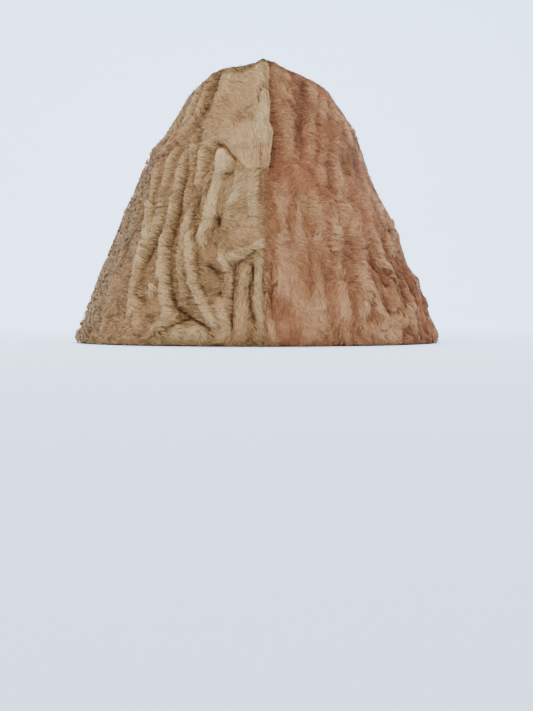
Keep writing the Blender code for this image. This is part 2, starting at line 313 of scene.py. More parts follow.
# Three places on each rib, from its top to its foot, in percent round and percent up, then
# its crest and width in mm
LEFT_RIBS = (
    # round, up, round, up, round, up, crest, width
    (3.9, 63, 4.0, 56, 3.4, 46, 1.3, 4.4),
    (8.6, 62, 8.5, 56, 9.8, 49, 1.2, 4.0),
    (13.7, 68, 13.8, 54, 14.6, 39, 1.9, 6.4),
    (16.5, 73, 16.1, 64, 16.0, 56, 1.5, 2.4),
    (19.5, 70, 18.4, 57, 18.6, 44, 2.1, 4.2),
    (23.2, 74, 20.9, 63.5, 20.2, 54, 1.6, 2.6),
    (24.9, 67, 23.6, 52, 22.9, 37, 2.1, 4.0),
    (26.2, 65, 25.4, 61.5, 25.5, 58, 0.9, 2.2),
    (29.8, 69, 27.8, 52, 26.8, 42, 2.0, 3.8),
    (35.3, 67, 32.8, 56, 30.5, 45, 1.7, 4.0),
    (44.0, 68, 40.0, 60.5, 35.5, 50, 0.6, 5.0),
    (1.4, 32, 1.5, 22, 1.0, 8, 1.2, 4.2),
    (4.7, 27, 4.4, 16, 4.0, 3, 0.8, 7.2),
    (9.6, 31, 6.9, 21, 8.1, 14.4, 1.7, 3.2),
    (8.1, 14.4, 7.0, 9.7, 5.5, 4, 1.4, 4.2),
    (17.8, 43, 14.8, 25.5, 9.2, 9.5, 1.9, 5.2),
    (18.8, 44, 17.9, 32, 15.1, 18, 1.1, 3.0),
    (22.8, 38, 21.2, 26, 17.6, 12, 1.7, 7.8),
    (29.2, 43, 27.6, 26, 24.0, 7, 1.5, 9.6),
    (27.5, 99, 27.0, 88, 28.5, 79, 1.2, 4.4),
    (33.0, 98, 32.5, 88, 33.5, 79, 1.2, 5.0),
    (39.5, 96, 39.0, 86, 40.0, 78, 0.9, 5.0),
    (36.5, 44, 35.0, 26, 32.0, 6, 0.4, 7.0),
    (43.0, 52, 41.0, 30, 38.5, 6, 0.4, 7.0),
)
RIGHT_RIBS = (
    # round, up, round, up, round, up, crest, width
    (0.9, 46, 0.7, 23, 0.6, 4, 0.9, 3.2),
    (13.5, 97, 9.6, 76, 6.6, 52, 0.6, 5.4),
    (24.0, 96, 17.4, 74, 11.6, 50, 0.6, 4.4),
    (29.5, 96, 21.0, 74, 15.6, 50, 0.8, 4.6),
    (35.0, 94, 26.2, 73, 20.4, 50, 0.8, 4.8),
    (40.0, 93, 31.0, 72, 25.0, 50, 0.7, 5.0),
    (45.5, 90, 37.0, 70, 31.0, 50, 0.6, 5.4),
    (5.2, 50, 4.3, 30, 3.4, 3, 0.7, 6.0),
    (9.6, 50, 8.0, 30, 6.4, 3, 0.7, 5.0),
    (13.6, 50, 11.6, 32, 9.9, 5, 0.8, 5.4),
    (18.6, 50, 16.4, 32, 14.2, 4, 0.9, 5.2),
    (23.1, 46, 21.0, 32, 18.6, 4, 1.0, 5.2),
    (22.5, 29.5, 22.2, 20.6, 22.9, 11.8, 1.3, 3.6),
    (29.8, 48, 28.5, 30, 27.5, 10, 1.1, 5.0),
    (35.0, 60, 33.5, 35, 31.0, 4, 1.0, 6.0),
    (40.5, 60, 38.5, 33, 36.0, 3, 0.8, 6.0),
    (46.0, 56, 44.0, 33, 41.0, 3, 0.7, 6.4),
)
print("ribs placed at the front, left and right:", len(LEFT_RIBS), len(RIGHT_RIBS))

# %% [markdown]
# ## Ribs on to the back seam
# The photo doesn't show the rest of the pelt, which goes on in the same manner. Charting
# it too would only be guessing by hand, so a rule grows these ribs: evenly spaced, with
# lengths, heights and widths drawn from a seeded generator, the same on every run.

# %% Ribs on to the back seam
BACK_SEAM_RIB = 98.0                     # percent round
BACK_RIB_PITCH = 3.6
BACK_STARTS = {LEFT: (50.0, 48.0, 45.0), RIGHT: (52.0, 50.0, 47.0)}   # at ridge, half, rim
BACK_RIB_FEET = (3.0, 20.0, 45.0)        # percent up
BACK_RIB_LENGTHS = (35.0, 70.0)
BACK_RIB_TOP = 96.0
BACK_RIB_WOBBLE = 0.5                    # percent round
BACK_RIB_CRESTS = (1.0, 1.8)             # mm
BACK_RIB_WIDTHS = (4.0, 6.4)


def grown_ribs(side, rng):
    """The ribs behind the charted ones, on to the back seam."""
    start = np.array(BACK_STARTS[side])
    count = round((BACK_SEAM_RIB - start[1]) / BACK_RIB_PITCH)
    rows = []
    for i in range(count + 1):
        # The rib runs along a curve through its places at the ridge, half way up and the rim
        ridge, half, rim = start + (BACK_SEAM_RIB - start) * i / count
        low = rng.choice(BACK_RIB_FEET)
        high = min(low + rng.uniform(*BACK_RIB_LENGTHS), BACK_RIB_TOP)
        row = []
        for up in (high, 0.5 * (low + high), low):
            v = up / 100.0
            place = rim * (1.0 - v) * (1.0 - 2.0 * v) + half * 4.0 * v * (1.0 - v)
            place += ridge * v * (2.0 * v - 1.0)
            row += [place + rng.normal(0.0, BACK_RIB_WOBBLE), up]
        rows.append((*row, rng.uniform(*BACK_RIB_CRESTS), rng.uniform(*BACK_RIB_WIDTHS)))
    return rows


ribs_rng = np.random.default_rng(SEED + 1)
RIBS = {
    LEFT: np.array(list(LEFT_RIBS) + grown_ribs(LEFT, ribs_rng)),
    RIGHT: np.array(list(RIGHT_RIBS) + grown_ribs(RIGHT, ribs_rng)),
}
print("ribs in all, left and right:", len(RIBS[LEFT]), len(RIBS[RIGHT]))

# %% [markdown]
# ## Tubes of curl
# Each rib is a tube that follows a smooth line through its three places and dies out past
# both ends. It winds and swells a little, by noise. A bump in the material would be
# cheaper, but the curl shows on the cap's outline and turns its hair, so the tubes are
# real heights. A crest that stands out hides what is behind it, so on the round of the cap
# it is set a little nearer the seam than it appears from the front.

# %% Tubes of curl
GIRTH = 290.0                # mm round one side at the rim
GIRTH_LOSS = 0.42            # share of it that is lost on the way up to the ridge
RISE = 128.0                 # mm up the wall
LAST_SEEN = 0.30             # share round, past which a crest isn't moved any further
RIB_FADE = 0.08              # height share over which a rib comes up and dies out
RIB_END = 0.01
RIB_APART = 3.7              # noise units between ribs, so that no two are uneven alike
SWAY_LENGTH, SWELL_LENGTH = 10.0, 8.0   # mm along a rib from one bend or swelling to the next
SWAY = {LEFT: 0.3, RIGHT: 1.2}          # mm, how much a rib winds
SWELL = {LEFT: 0.10, RIGHT: 0.45}       # and how unevenly it is filled
FULLNESS = {LEFT: 0.75, RIGHT: 0.6}     # 0.5 is a round tube, and a larger value a narrow crest


def side_girth(v):
    """About how far it is round one side at a height, in mm."""
    return GIRTH * (1.0 - GIRTH_LOSS * np.clip(v, 0.0, 1.0))


def stood_off(t, height):
    """How much nearer the seam, in mm, a place has to lie for a crest of this height in mm to
    be seen from the front where the tables say. Below 0, for a hollow, it lies further off."""
    return height * np.tan(np.pi * np.clip(t, 0.0, LAST_SEEN))


def rib_line(ribs, v):
    """Where round the side each rib runs at a height: a curve through its three places."""
    top, top_v, mid, mid_v, foot, foot_v = (ribs[:, k] / 100.0 for k in range(6))
    at = np.clip(v, foot_v, top_v)
    line = top * (at - mid_v) * (at - foot_v) / ((top_v - mid_v) * (top_v - foot_v))
    line = line + mid * (at - top_v) * (at - foot_v) / ((mid_v - top_v) * (mid_v - foot_v))
    return line + foot * (at - top_v) * (at - mid_v) / ((foot_v - top_v) * (foot_v - mid_v))


def rib_relief(side, t, v):
    """How far tubes of curl stand proud, in mm."""
    ribs = RIBS[side]
    top_v, foot_v = ribs[:, 1] / 100.0, ribs[:, 5] / 100.0
    crest, width = ribs[:, 6], ribs[:, 7]
    v = v[..., None]
    line = rib_line(ribs, v)
    number = np.arange(len(ribs)) * RIB_APART
    sway = SWAY[side] * noise(v * RISE / SWAY_LENGTH, number, layer=1 + (side > 0))
    off = (t[..., None] - line) * side_girth(v) + stood_off(line, crest) + sway
    swell = 1.0 + SWELL[side] * noise(v * RISE / SWELL_LENGTH, number, layer=3)
    tube = np.maximum(0.0, 1.0 - (2.0 * off / (width * swell)) ** 2) ** FULLNESS[side]
    there = ramp(v, foot_v - RIB_FADE, foot_v + RIB_END)
    there = there * until(v, top_v - RIB_END, top_v + RIB_FADE)
    return np.max(crest * swell * tube * there, axis=-1)


sample = rib_relief(LEFT, np.linspace(0.05, 0.5, 400), np.full(400, 0.55))
print("ribs on the left, half way up: up to", round(sample.max(), 2), "mm")

# %% [markdown]
# ## Knots
# Here and there a curl is wound up on itself like a snail. Each could be modelled apart
# and set on the pelt, but then the hair would have to be told of every one. As a mound
# with a groove winding into it, a knot is only more of the same relief.

# %% Knots
# Percent round and up, radius and height in mm, and how far a knot is wound up, 0 to 1
LEFT_KNOTS = (
    # round, up, radius, height, winding
    (22.6, 20.2, 3.2, 2.6, 1.0),
    (12.4, 66.2, 6.2, 1.6, 0.0),
    (18.6, 5.7, 5.0, 1.4, 0.4),
    (11.2, 4.5, 4.6, 1.5, 0.4),
    (14.8, 5.0, 4.2, 1.2, 0.2),
    (6.4, 3.6, 4.2, 1.0, 0.2),
    (31.5, 53.0, 2.6, 0.7, 0.0),
    (47.2, 54.1, 1.6, 1.6, 0.0),
)
RIGHT_KNOTS = (
    # round, up, radius, height, winding
    (11.8, 92.5, 3.8, 0.9, 0.6),
    (10.8, 53.7, 2.6, 1.1, 0.6),
    (23.1, 51.0, 2.4, 1.8, 0.3),
    (17.3, 43.8, 4.0, 0.8, 1.0),
    (11.6, 39.4, 4.2, 0.8, 1.0),
    (4.3, 39.0, 4.2, 0.7, 1.0),
    (23.9, 5.8, 7.4, 1.5, 1.0),
    (29.3, 9.1, 3.4, 2.6, 0.2),
    (34.0, 15.0, 5.0, 1.3, 1.0),
    (20.5, 5.0, 5.0, 1.2, 1.0),
    (44.3, 48.9, 2.4, 1.8, 0.0),
    (44.3, 25.6, 3.4, 1.1, 0.4),
    (45.5, 16.0, 5.0, 1.4, 0.6),
    (43.0, 5.0, 6.0, 1.6, 0.6),
)
KNOTS = {LEFT: LEFT_KNOTS, RIGHT: RIGHT_KNOTS}
KNOT_STEEPNESS = 1.1
WINDING_TURN = 5.5           # radians that the groove turns on its way across the radius
GROOVE_SINK, GROOVE_DEPTH = 0.18, 0.25   # shares of the height


def off_place(t, v, place, up):
    """How far points lie from a charted place, in mm: round the side and up it."""
    return (t - place / 100.0) * side_girth(v), (v - up / 100.0) * RISE


def knot_relief(side, t, v):
    """Small curls wound up on themselves, in mm: a mound with a groove winding in."""
    total = np.zeros_like(t)
    for place, up, radius, height, winding in KNOTS[side]:
        dx, dy = off_place(t, v, place, up)
        dx = dx + stood_off(place / 100.0, height)
        far = np.hypot(dx, dy) / radius
        wound = np.cos(np.arctan2(dy, dx) * side + WINDING_TURN * far)
        mound = np.exp(-((far * KNOT_STEEPNESS) ** (2.0 + 2.0 * winding)))
        grooved = 1.0 - GROOVE_SINK * winding + GROOVE_DEPTH * winding * wound
        total += height * mound * grooved
    return total


print("knots on the left and right:", len(LEFT_KNOTS), len(RIGHT_KNOTS))

# %% [markdown]
# ## Folds of the skin
# The skin itself is creased between the curls and folded where it was stretched and sewn.
# Sculpting them would leave nothing that one can read or change. They are charted as short
# straight pieces, and where two pieces meet, the stronger one counts.

# %% Folds of the skin
# From one place to another in percent round and up, then the rise in mm, which is below 0
# where the skin folds in, and the width in mm
LEFT_FOLDS = (
    # round, up, round, up, rise, width
    (0.3, 91.4, 2.2, 88.8, -2.0, 1.9),
    (2.2, 88.8, 3.1, 85.5, -1.5, 1.9),
    (3.1, 85.5, 7.4, 84.8, -1.1, 2.2),
    (7.4, 84.8, 11.0, 82.6, -1.0, 2.4),
    (11.0, 82.6, 11.2, 79.5, -0.9, 2.4),
    (9.4, 81.4, 4.6, 80.4, -1.0, 5.0),
    (22.0, 99.5, 22.0, 92.5, -1.4, 2.2),
    (22.0, 92.5, 23.0, 85.2, -1.4, 2.2),
    (23.0, 85.2, 23.5, 81.0, -1.4, 2.2),
    (23.5, 81.0, 20.0, 77.0, -1.2, 2.2),
    (20.0, 77.0, 19.9, 73.5, -1.2, 2.2),
    (36.0, 74.0, 29.0, 78.5, 1.2, 3.0),
    (34.5, 72.5, 27.5, 75.5, -1.2, 2.4),
    (15.0, 72.2, 12.6, 71.4, -1.9, 3.0),
    (12.6, 71.4, 9.2, 66.6, -1.5, 2.4),
    (9.2, 66.6, 8.9, 62.5, -1.2, 2.2),
    (8.9, 62.5, 12.6, 61.0, -1.4, 2.4),
    (10.1, 70.4, 5.2, 69.6, -0.7, 2.0),
    (5.2, 69.6, -1.5, 69.6, -0.8, 2.0),
    (15.1, 71.5, 15.3, 66.0, -2.0, 2.2),
    (15.3, 66.0, 16.0, 60.0, -2.0, 2.2),
    (1.2, 67.0, 1.6, 52.0, -1.6, 1.9),
    (11.3, 46.0, 11.0, 43.6, -1.5, 3.4),
    (34.7, 65.0, 31.4, 55.0, -1.3, 2.8),
    (31.4, 55.0, 29.9, 46.5, -1.7, 3.4),
    (26.6, 58.0, 25.6, 48.7, -1.5, 2.8),
    (22.0, 63.0, 21.3, 55.9, -1.4, 2.4),
    (21.3, 55.9, 20.6, 48.0, -1.7, 3.0),
    (20.6, 48.0, 20.4, 35.7, -1.9, 4.0),
    (17.2, 55.5, 16.8, 48.3, -2.0, 4.4),
    (16.8, 48.3, 16.4, 41.5, -2.1, 3.8),
    (23.9, 40.5, 24.6, 34.9, -1.8, 3.8),
    (24.6, 34.9, 25.3, 29.1, -1.9, 4.2),
    (25.3, 29.1, 24.9, 22.0, -2.0, 4.0),
    (24.9, 22.0, 24.5, 18.0, -1.9, 2.6),
    (24.5, 18.0, 22.6, 16.2, -1.5, 2.2),
    (20.2, 23.4, 20.2, 19.4, -2.0, 2.2),
    (11.2, 28.6, 8.9, 25.6, -1.7, 2.6),
    (8.2, 19.2, 7.4, 16.8, -1.6, 2.4),
    (9.0, 30.6, 5.0, 32.8, 1.3, 3.6),
    (5.0, 32.8, 1.2, 35.4, 1.3, 3.6),
    (6.2, 28.9, 3.9, 31.6, -1.6, 1.8),
    (3.9, 31.6, 1.8, 33.4, -1.6, 1.8),
    (6.2, 28.7, 6.1, 20.8, -1.8, 1.8),
    (6.1, 20.8, 5.2, 2.5, -1.8, 1.8),
    (2.8, 28.6, 2.4, 23.2, -1.5, 1.5),
    (3.2, 21.8, 2.5, 12.8, -1.3, 1.6),
    (2.1, 11.2, 1.4, 8.8, -1.2, 1.8),
    (14.5, 36.5, 13.0, 23.1, -1.0, 1.9),
    (13.0, 23.1, 10.7, 17.8, -1.4, 1.9),
    (20.6, 35.0, 18.5, 25.6, -1.0, 2.0),
    (18.5, 25.6, 17.4, 19.8, -1.5, 1.9),
    (17.4, 19.8, 15.5, 13.6, -1.9, 1.9),
    (15.5, 13.6, 12.1, 9.7, -2.1, 1.9),
    (12.1, 9.7, 8.6, 6.2, -2.1, 1.9),
    (12.6, 9.8, 15.2, 7.6, -1.7, 2.0),
    (15.2, 7.6, 18.6, 3.4, -1.5, 2.0),
    (24.2, 11.0, 23.3, 6.6, -1.7, 2.4),
    (22.8, 6.4, 22.4, 3.6, -1.5, 1.8),
    (22.4, 3.6, 21.0, 3.6, -1.3, 1.8),
    (20.1, 10.7, 19.3, 7.8, -1.3, 1.8),
    (36.0, 5.5, 36.4, 1.5, -1.2, 2.6),
)
RIGHT_FOLDS = (
    # round, up, round, up, rise, width
    (21.0, 99.0, 17.4, 90.8, -0.8, 3.4),
    (17.4, 90.8, 14.9, 78.8, -0.8, 3.4),
    (14.9, 78.8, 12.5, 67.3, -0.7, 3.0),
    (28.6, 99.0, 24.3, 89.6, -0.7, 2.6),
    (11.6, 88.8, 12.3, 86.6, -1.8, 2.2),
    (11.6, 66.4, 11.6, 65.6, -1.3, 2.2),
    (14.3, 64.4, 14.3, 63.4, -1.3, 2.2),
    (26.5, 66.4, 26.5, 65.0, -1.3, 2.4),
    (19.7, 58.2, 19.8, 56.4, -1.4, 2.4),
    (9.8, 54.2, 9.8, 52.6, -1.2, 1.8),
    (1.7, 29.5, 1.4, 19.6, -1.1, 1.5),
    (1.4, 19.6, 1.1, 10.0, -1.1, 1.5),
    (23.6, 30.0, 25.6, 22.0, -1.6, 2.4),
    (23.6, 18.0, 24.2, 11.0, -1.4, 2.4),
    (29.2, 21.0, 30.2, 15.4, -2.0, 3.4),
    (26.2, 14.0, 27.8, 9.0, -1.6, 2.2),
    (27.8, 9.0, 27.6, 4.5, -1.3, 2.8),
    (31.0, 6.4, 32.4, 1.7, -1.8, 2.8),
    (26.2, 31.4, 28.2, 30.0, 1.7, 3.2),
    (28.2, 30.0, 29.6, 26.5, 1.7, 3.2),
    (29.6, 26.5, 29.6, 21.5, 1.2, 2.8),
    (26.4, 28.6, 28.4, 22.0, -1.7, 2.4),
    (31.0, 36.0, 33.0, 24.0, -1.2, 3.4),
    (9.7, 5.0, 9.7, 2.0, -1.3, 3.0),
    (15.8, 6.0, 16.4, 2.0, -1.2, 2.6),
)
FOLDS = {LEFT: LEFT_FOLDS, RIGHT: RIGHT_FOLDS}


def fold_relief(side, t, v):
    """Folds of the skin, in mm."""
    total = np.zeros_like(t)
    girth = side_girth(v)
    for from_t, from_v, to_t, to_v, rise, width in FOLDS[side]:
        from_off, to_off = stood_off(from_t / 100.0, rise), stood_off(to_t / 100.0, rise)
        run_x = (to_t - from_t) / 100.0 * girth - to_off + from_off
        run_y = (to_v - from_v) / 100.0 * RISE
        dx, dy = off_place(t, v, from_t, from_v)
        dx = dx + from_off
        along = np.clip((dx * run_x + dy * run_y) / (run_x**2 + run_y**2), 0.0, 1.0)
        far = np.hypot(dx - along * run_x, dy - along * run_y) / (0.5 * width)
        fold = rise * np.exp(-(far**2))
        total = np.where(np.abs(fold) > np.abs(total), fold, total)
    return total


print("pieces of fold on the left and right:", len(LEFT_FOLDS), len(RIGHT_FOLDS))

# %% [markdown]
# ## The lap of the front seam
# In its upper half the left side laps over the right one, with a wavy edge. Two thin
# sheets laid over each other could cut through one another there. So the left side simply
# reaches further across and stands up in a lip, and the right side sinks beside it.

# %% The lap of the front seam
# How far the left side's edge lies over the right side, at height shares, in mm
SEAM_LAP = (
    # up, lap
    (0.00, 0.2),
    (0.47, 0.2),
    (0.59, 0.2),
    (0.625, 1.0),
    (0.66, 1.9),
    (0.70, 2.6),
    (0.755, 3.0),
    (0.80, 1.5),
    (0.85, 2.1),
    (0.91, 1.4),
    (1.09, 1.9),
)
LAP_SHOWS = (0.3, 1.4)       # mm of lap, from which the lip comes up and where it is full
LAP_THICKNESS = 1.3          # mm
LIP_EDGE = (-0.2, 0.8)       # mm from the edge, over which the lip comes up
LIP_REACH = 4.0
LAP_SINK = 0.9               # mm, the right side under and beside the lap
HOLLOW_REACH = 3.6
UNDER_LAP = 0.7              # mm more, right under it


def lap(v):
    """How far over the middle the left side's edge lies, in mm."""
    rows = np.array(SEAM_LAP)
    return np.interp(v, rows[:, 0], rows[:, 1])


def lapped(v):
    return ramp(lap(v), *LAP_SHOWS)


def seam_edge(side, v):
    """The value of a at a side's front edge."""
    return side * lap(v) * MM / (np.pi * half_width(v))


def lap_relief(side, a, v):
    """The lap of the seam, in mm: a lip on the left side and the hollow beside it."""
    from_edge = (half_width(v) * np.sin(np.pi * a)) / MM - side * lap(v)
    if side == LEFT:
        lip = np.exp(-((from_edge / LIP_REACH) ** 2)) * ramp(from_edge, *LIP_EDGE)
        return LAP_THICKNESS * lip * lapped(v)
    sunk = LAP_SINK * np.exp(-((np.maximum(from_edge, 0.0) / HOLLOW_REACH) ** 2))
    return -(sunk + UNDER_LAP * ramp(-from_edge, 0.0, 1.0)) * lapped(v)


print("the lap is", np.round(lap(np.array((0.5, 0.75, 1.0))), 1), "mm at three heights")

# %% [markdown]
# ## All the relief together
# Ribs, knots, folds and lap are added up, with some unevenness. High on the left by the
# seam the pelt has no curl, and there a flat flap takes the place of the ribs. Toward the
# rim and over the fold everything grows calmer, as it does where a pelt is pulled tight
# and sewn.

# %% All the relief together
WARP = {LEFT: 0.22, RIGHT: 0.8}         # mm, how much the ribs waver together
ROUGH = {LEFT: 0.12, RIGHT: 0.34}       # mm, unevenness all over
FINE_SHARE = 0.5                        # share of it that is finer still
WARP_SIZE = (7.0, 9.0)                  # mm round and up, of one feature
ROUGH_SIZE = (4.6, 9.0)
FINE_SIZE = (1.9, 3.2)
# The flap, at shares round and up; its foot is lowest by the seam
FLAP_RISE = 1.2                         # mm
FLAP_FOOT, FLAP_FOOT_FAR = 0.612, 0.70
FLAP_FOOT_CLIMB = (0.045, 0.125)
FLAP_FOOT_BLEND = 0.015
FLAP_END = (0.20, 0.215)
FLAP_TOP = (0.97, 1.0)
# How much calmer the relief is over the fold and at the rim
FOLD_CALM, FOLD_CALM_FROM = 0.75, (0.985, 1.03)
RIM_CALM, RIM_CALM_HEIGHT = 0.55, 5.0   # share, mm
# The seam ends in a small peak
PEAK_ACROSS = 4.4 * MM
PEAK_REACH = 3.8 * MM
PEAK_LEFT_REACH = 9.0 * MM
PEAK_RISE = 1.2 * MM
PEAK_FROM = (0.86, 1.0)
PEAK_LAST = 0.3                         # share round, past which there is no peak


def uneven(x, y, size, layer):
    """Noise with features of a size, all in mm."""
    return noise(x / size[0], y / size[1], layer)


def flap_share(t, v):
    """1 on the flap and 0 off it."""
    low = FLAP_FOOT + (FLAP_FOOT_FAR - FLAP_FOOT) * ramp(t, *FLAP_FOOT_CLIMB)
    return ramp(v, low, low + FLAP_FOOT_BLEND) * until(t, *FLAP_END) * until(v, *FLAP_TOP)


def relief(side, a, v):
    """Height of the coat over the form, in mm."""
    t = share(a, v)
    v = np.clip(v, 0.0, FOLD_TOP)
    x, y = t * side_girth(v), v * RISE
    warp = WARP[side] * uneven(x, y, WARP_SIZE, layer=5 + side)
    height = rib_relief(side, t + warp / side_girth(v), v)
    if side == LEFT:
        flap = flap_share(t, v)
        height = height * (1.0 - flap) + FLAP_RISE * flap
    fine = FINE_SHARE * uneven(x, y, FINE_SIZE, layer=12 + side)
    height = height + ROUGH[side] * (uneven(x, y, ROUGH_SIZE, layer=8 + side) + fine)
    height = height + lap_relief(side, a, v) + knot_relief(side, t, v) + fold_relief(side, t, v)
    height = height * (1.0 - FOLD_CALM * ramp(v, *FOLD_CALM_FROM))
    return height * (1.0 - RIM_CALM * until(y, 0.0, RIM_CALM_HEIGHT))


def coat(side, a, v, lift=0.0):
    """The form with its relief, raised by lift."""
    base = form(side, a, v)
    across = base[..., 0] - PEAK_ACROSS
    off = across / np.where(across < 0.0, PEAK_LEFT_REACH, PEAK_REACH)
    base[..., 2] += PEAK_RISE * np.exp(-(off**2)) * ramp(v, *PEAK_FROM) * (a < PEAK_LAST)
    high = relief(side, a, v) * MM + lift
    return base + out_of_form(side, a, v) * high[..., None]


sample = relief(LEFT, np.linspace(0.05, 0.5, 400), np.full(400, 0.55))
print("all relief there:", round(sample.min(), 2), "to", round(sample.max(), 2), "mm")

# %% [markdown]
# ## From points to meshes
# Skin, hair and cloth are all made as arrays first and turned into meshes in one go,
# which is far quicker than adding a face at a time. Blender's own hair curves would be less
# work, but they are no mesh, and a part that is handed on needs one. Each point carries
# three numbers that the colours read: how much light its place gets, how far along the hair
# it is, and a random tone.

# %% From arrays to a mesh
NO_TRIANGLES = np.zeros((0, 3), int)


def new_mesh(name, points, quads, tint, finish, triangles=NO_TRIANGLES, smooth=True):
    """A mesh object from arrays. tint holds, for each point, the painted light of its place, an
    along and a tone.
    """
    mesh = bpy.data.meshes.new(name)
    corners = np.concatenate([quads.ravel(), triangles.ravel()]).astype(np.int32)
    starts = np.concatenate([
        np.arange(len(quads)) * 4,
        len(quads) * 4 + np.arange(len(triangles)) * 3,
    ]).astype(np.int32)
    points, tint = (np.asarray(part, dtype=np.float32).reshape(-1, 3) for part in (points, tint))
    mesh.vertices.add(len(points))
    mesh.vertices.foreach_set("co", points.ravel())
    mesh.loops.add(len(corners))
    mesh.loops.foreach_set("vertex_index", corners)
    mesh.polygons.add(len(starts))
    mesh.polygons.foreach_set("loop_start", starts)
    mesh.update(calc_edges=True)
    layer = mesh.attributes.new("tint", "FLOAT_VECTOR", "POINT")
    layer.data.foreach_set("vector", tint.ravel())
    mesh.polygons.foreach_set("use_smooth", np.full(len(starts), smooth))
    mesh.materials.append(finish)
    mesh.validate()
    made = bpy.data.objects.new(name, mesh)
    bpy.context.scene.collection.objects.link(made)
    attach(made, "root")
    return made


def grid_quads(rows, columns, flip=False):
    """Corner numbers of the quads of a grid of points stored row by row."""
    index = np.arange(rows * columns).reshape(rows, columns)
    quads = np.stack([index[:-1, :-1], index[:-1, 1:], index[1:, 1:], index[1:, :-1]], axis=-1)
    quads = quads.reshape(-1, 4)
    return quads[:, ::-1] if flip else quads


print("a grid of 3 by 3 points has", len(grid_quads(3, 3)), "quads")

# %% [markdown]
# ## Shader maths
# A material is a small sum. It could be wired up node by node, but then the sum can hardly
# be read any more. Wrapping a node's socket lets it be written the way it is thought of,
# `light * 0.6 + speckle`, while each operation adds the node it stands for.

# %% A socket that can be added and multiplied
class Wire:
    """A value or colour coming out of a node, with the usual arithmetic."""

    def __init__(self, tree, socket):
        self.tree = tree
        self.socket = socket

    def node(self, kind, settings=(), output=0, **inputs):
        """Adds a node of a kind, sets it up, feeds its inputs and returns an output. Inputs
        go by their names, or by their numbers, as in i0 and i7."""
        made = self.tree.nodes.new(kind)
        for name, value in settings:
            setattr(made, name, value)
        for name, value in inputs.items():
            key = int(name[1:]) if name[0] == "i" and name[1:].isdigit() else name.replace("_", " ")
            target = made.inputs[key]
            if isinstance(value, Wire):
                self.tree.links.new(value.socket, target)
            else:
                target.default_value = value
        return Wire(self.tree, made.outputs[output])

    def maths(self, operation, first, second=0.0, clamp=False):
        settings = (("operation", operation), ("use_clamp", clamp))
        return self.node("ShaderNodeMath", settings, i0=first, i1=second)

    def __add__(self, other):
        return self.maths("ADD", self, other)

    def __sub__(self, other):
        return self.maths("SUBTRACT", self, other)

    def __mul__(self, other):
        return self.maths("MULTIPLY", self, other)

    def __rsub__(self, other):
        return self.maths("SUBTRACT", other, self)

    __radd__ = __add__
    __rmul__ = __mul__

    def clamped(self):
        return self.maths("ADD", self, 0.0, clamp=True)

    def blend(self, low, high):
        """The colour between low and high that this value picks."""
        settings = (("data_type", "RGBA"), ("clamp_factor", True))
        return self.node("ShaderNodeMix", settings, output=2, i0=self, i6=low, i7=high)


def new_finish(name):
    """A material with a bare Principled shader, and a wire to start its sums from."""
    finish = bpy.data.materials.new(name)
    finish.use_nodes = True
    tree = finish.node_tree
    shader = tree.nodes["Principled BSDF"]
    return finish, shader, Wire(tree, None)


print("shader sums ready")

# %% [markdown]
# ## The colour of the coat
# The hair is a warm tan that was bleached by light at its tips and is darker toward its roots. Deep
# between the ribs the colour is darkened further as painted shade, and on the crests it is paled as
# painted light. The two sides came from different pelts: the left one is golden, the right one
# redder. Blender has a shader made for hair curves. These hairs are ribbons of a mesh, so a plain
# one does, coloured by what each point carries: first from root to middle to tip by how much light
# it gets, then blushed in cloudy patches.

# %% Pelt materials
def rgb(red, green, blue):
    """A colour as shaders take it, from the 0 to 255 values one sees on a screen."""
    return (*(((value / 255.0) ** 2.2) for value in (red, green, blue)), 1.0)


CLOUD_SCALE, GRAIN_SCALE = 42.0, 900.0   # features in a metre
PLACE_WEIGHT = 0.70          # what makes a hair pale: the light that its place gets,
ALONG_WEIGHT = 0.16          # how near its tip one looks,
TONE_WEIGHT = 0.60           # its own tone
GRAIN_WEIGHT = 0.20          # and a fine grain
PALENESS_SHIFT = -0.17
BLUSH_CONTRAST, BLUSH_BY_TONE, MOST_BLUSH = 3.2, 0.3, 0.42
ROUGHNESS, ROUGHNESS_GRAIN = 0.48, 0.2
GLOSS = 0.1
SHEEN, SHEEN_ROUGHNESS = 0.06, 0.4


def pelt_finish(name, root, middle, tip, blush):
    """Hair that is dark at its roots, with painted shade in the hollows and painted light on the
    crests.
    """
    finish, shader, start = new_finish(name)
    tint = start.node("ShaderNodeAttribute", (("attribute_name", "tint"),), output=1)
    place, along, tone = (
        start.node("ShaderNodeSeparateXYZ", output=k, Vector=tint) for k in range(3)
    )
    where = start.node("ShaderNodeTexCoord", output=3)
    cloud = start.node("ShaderNodeTexNoise", Vector=where, Scale=CLOUD_SCALE, Detail=3.0)
    grain = start.node("ShaderNodeTexNoise", Vector=where, Scale=GRAIN_SCALE, Detail=2.0)
    light = place * PLACE_WEIGHT + along * ALONG_WEIGHT + tone * TONE_WEIGHT
    light = light + (grain - 0.5) * GRAIN_WEIGHT + PALENESS_SHIFT
    low = (light * 2.0).clamped().blend(root, middle)
    body = (light * 2.0 - 1.0).clamped().blend(low, tip)
    blushing = ((cloud - 0.5) * BLUSH_CONTRAST + tone * BLUSH_BY_TONE).clamped() * MOST_BLUSH
    start.tree.links.new(blushing.blend(body, blush).socket, shader.inputs["Base Color"])
    rough = (grain * ROUGHNESS_GRAIN + ROUGHNESS).clamped()
    start.tree.links.new(rough.socket, shader.inputs["Roughness"])
    shader.inputs["Specular IOR Level"].default_value = GLOSS
    shader.inputs["Sheen Weight"].default_value = SHEEN
    shader.inputs["Sheen Roughness"].default_value = SHEEN_ROUGHNESS
    shader.inputs["Sheen Tint"].default_value = tip
    return finish
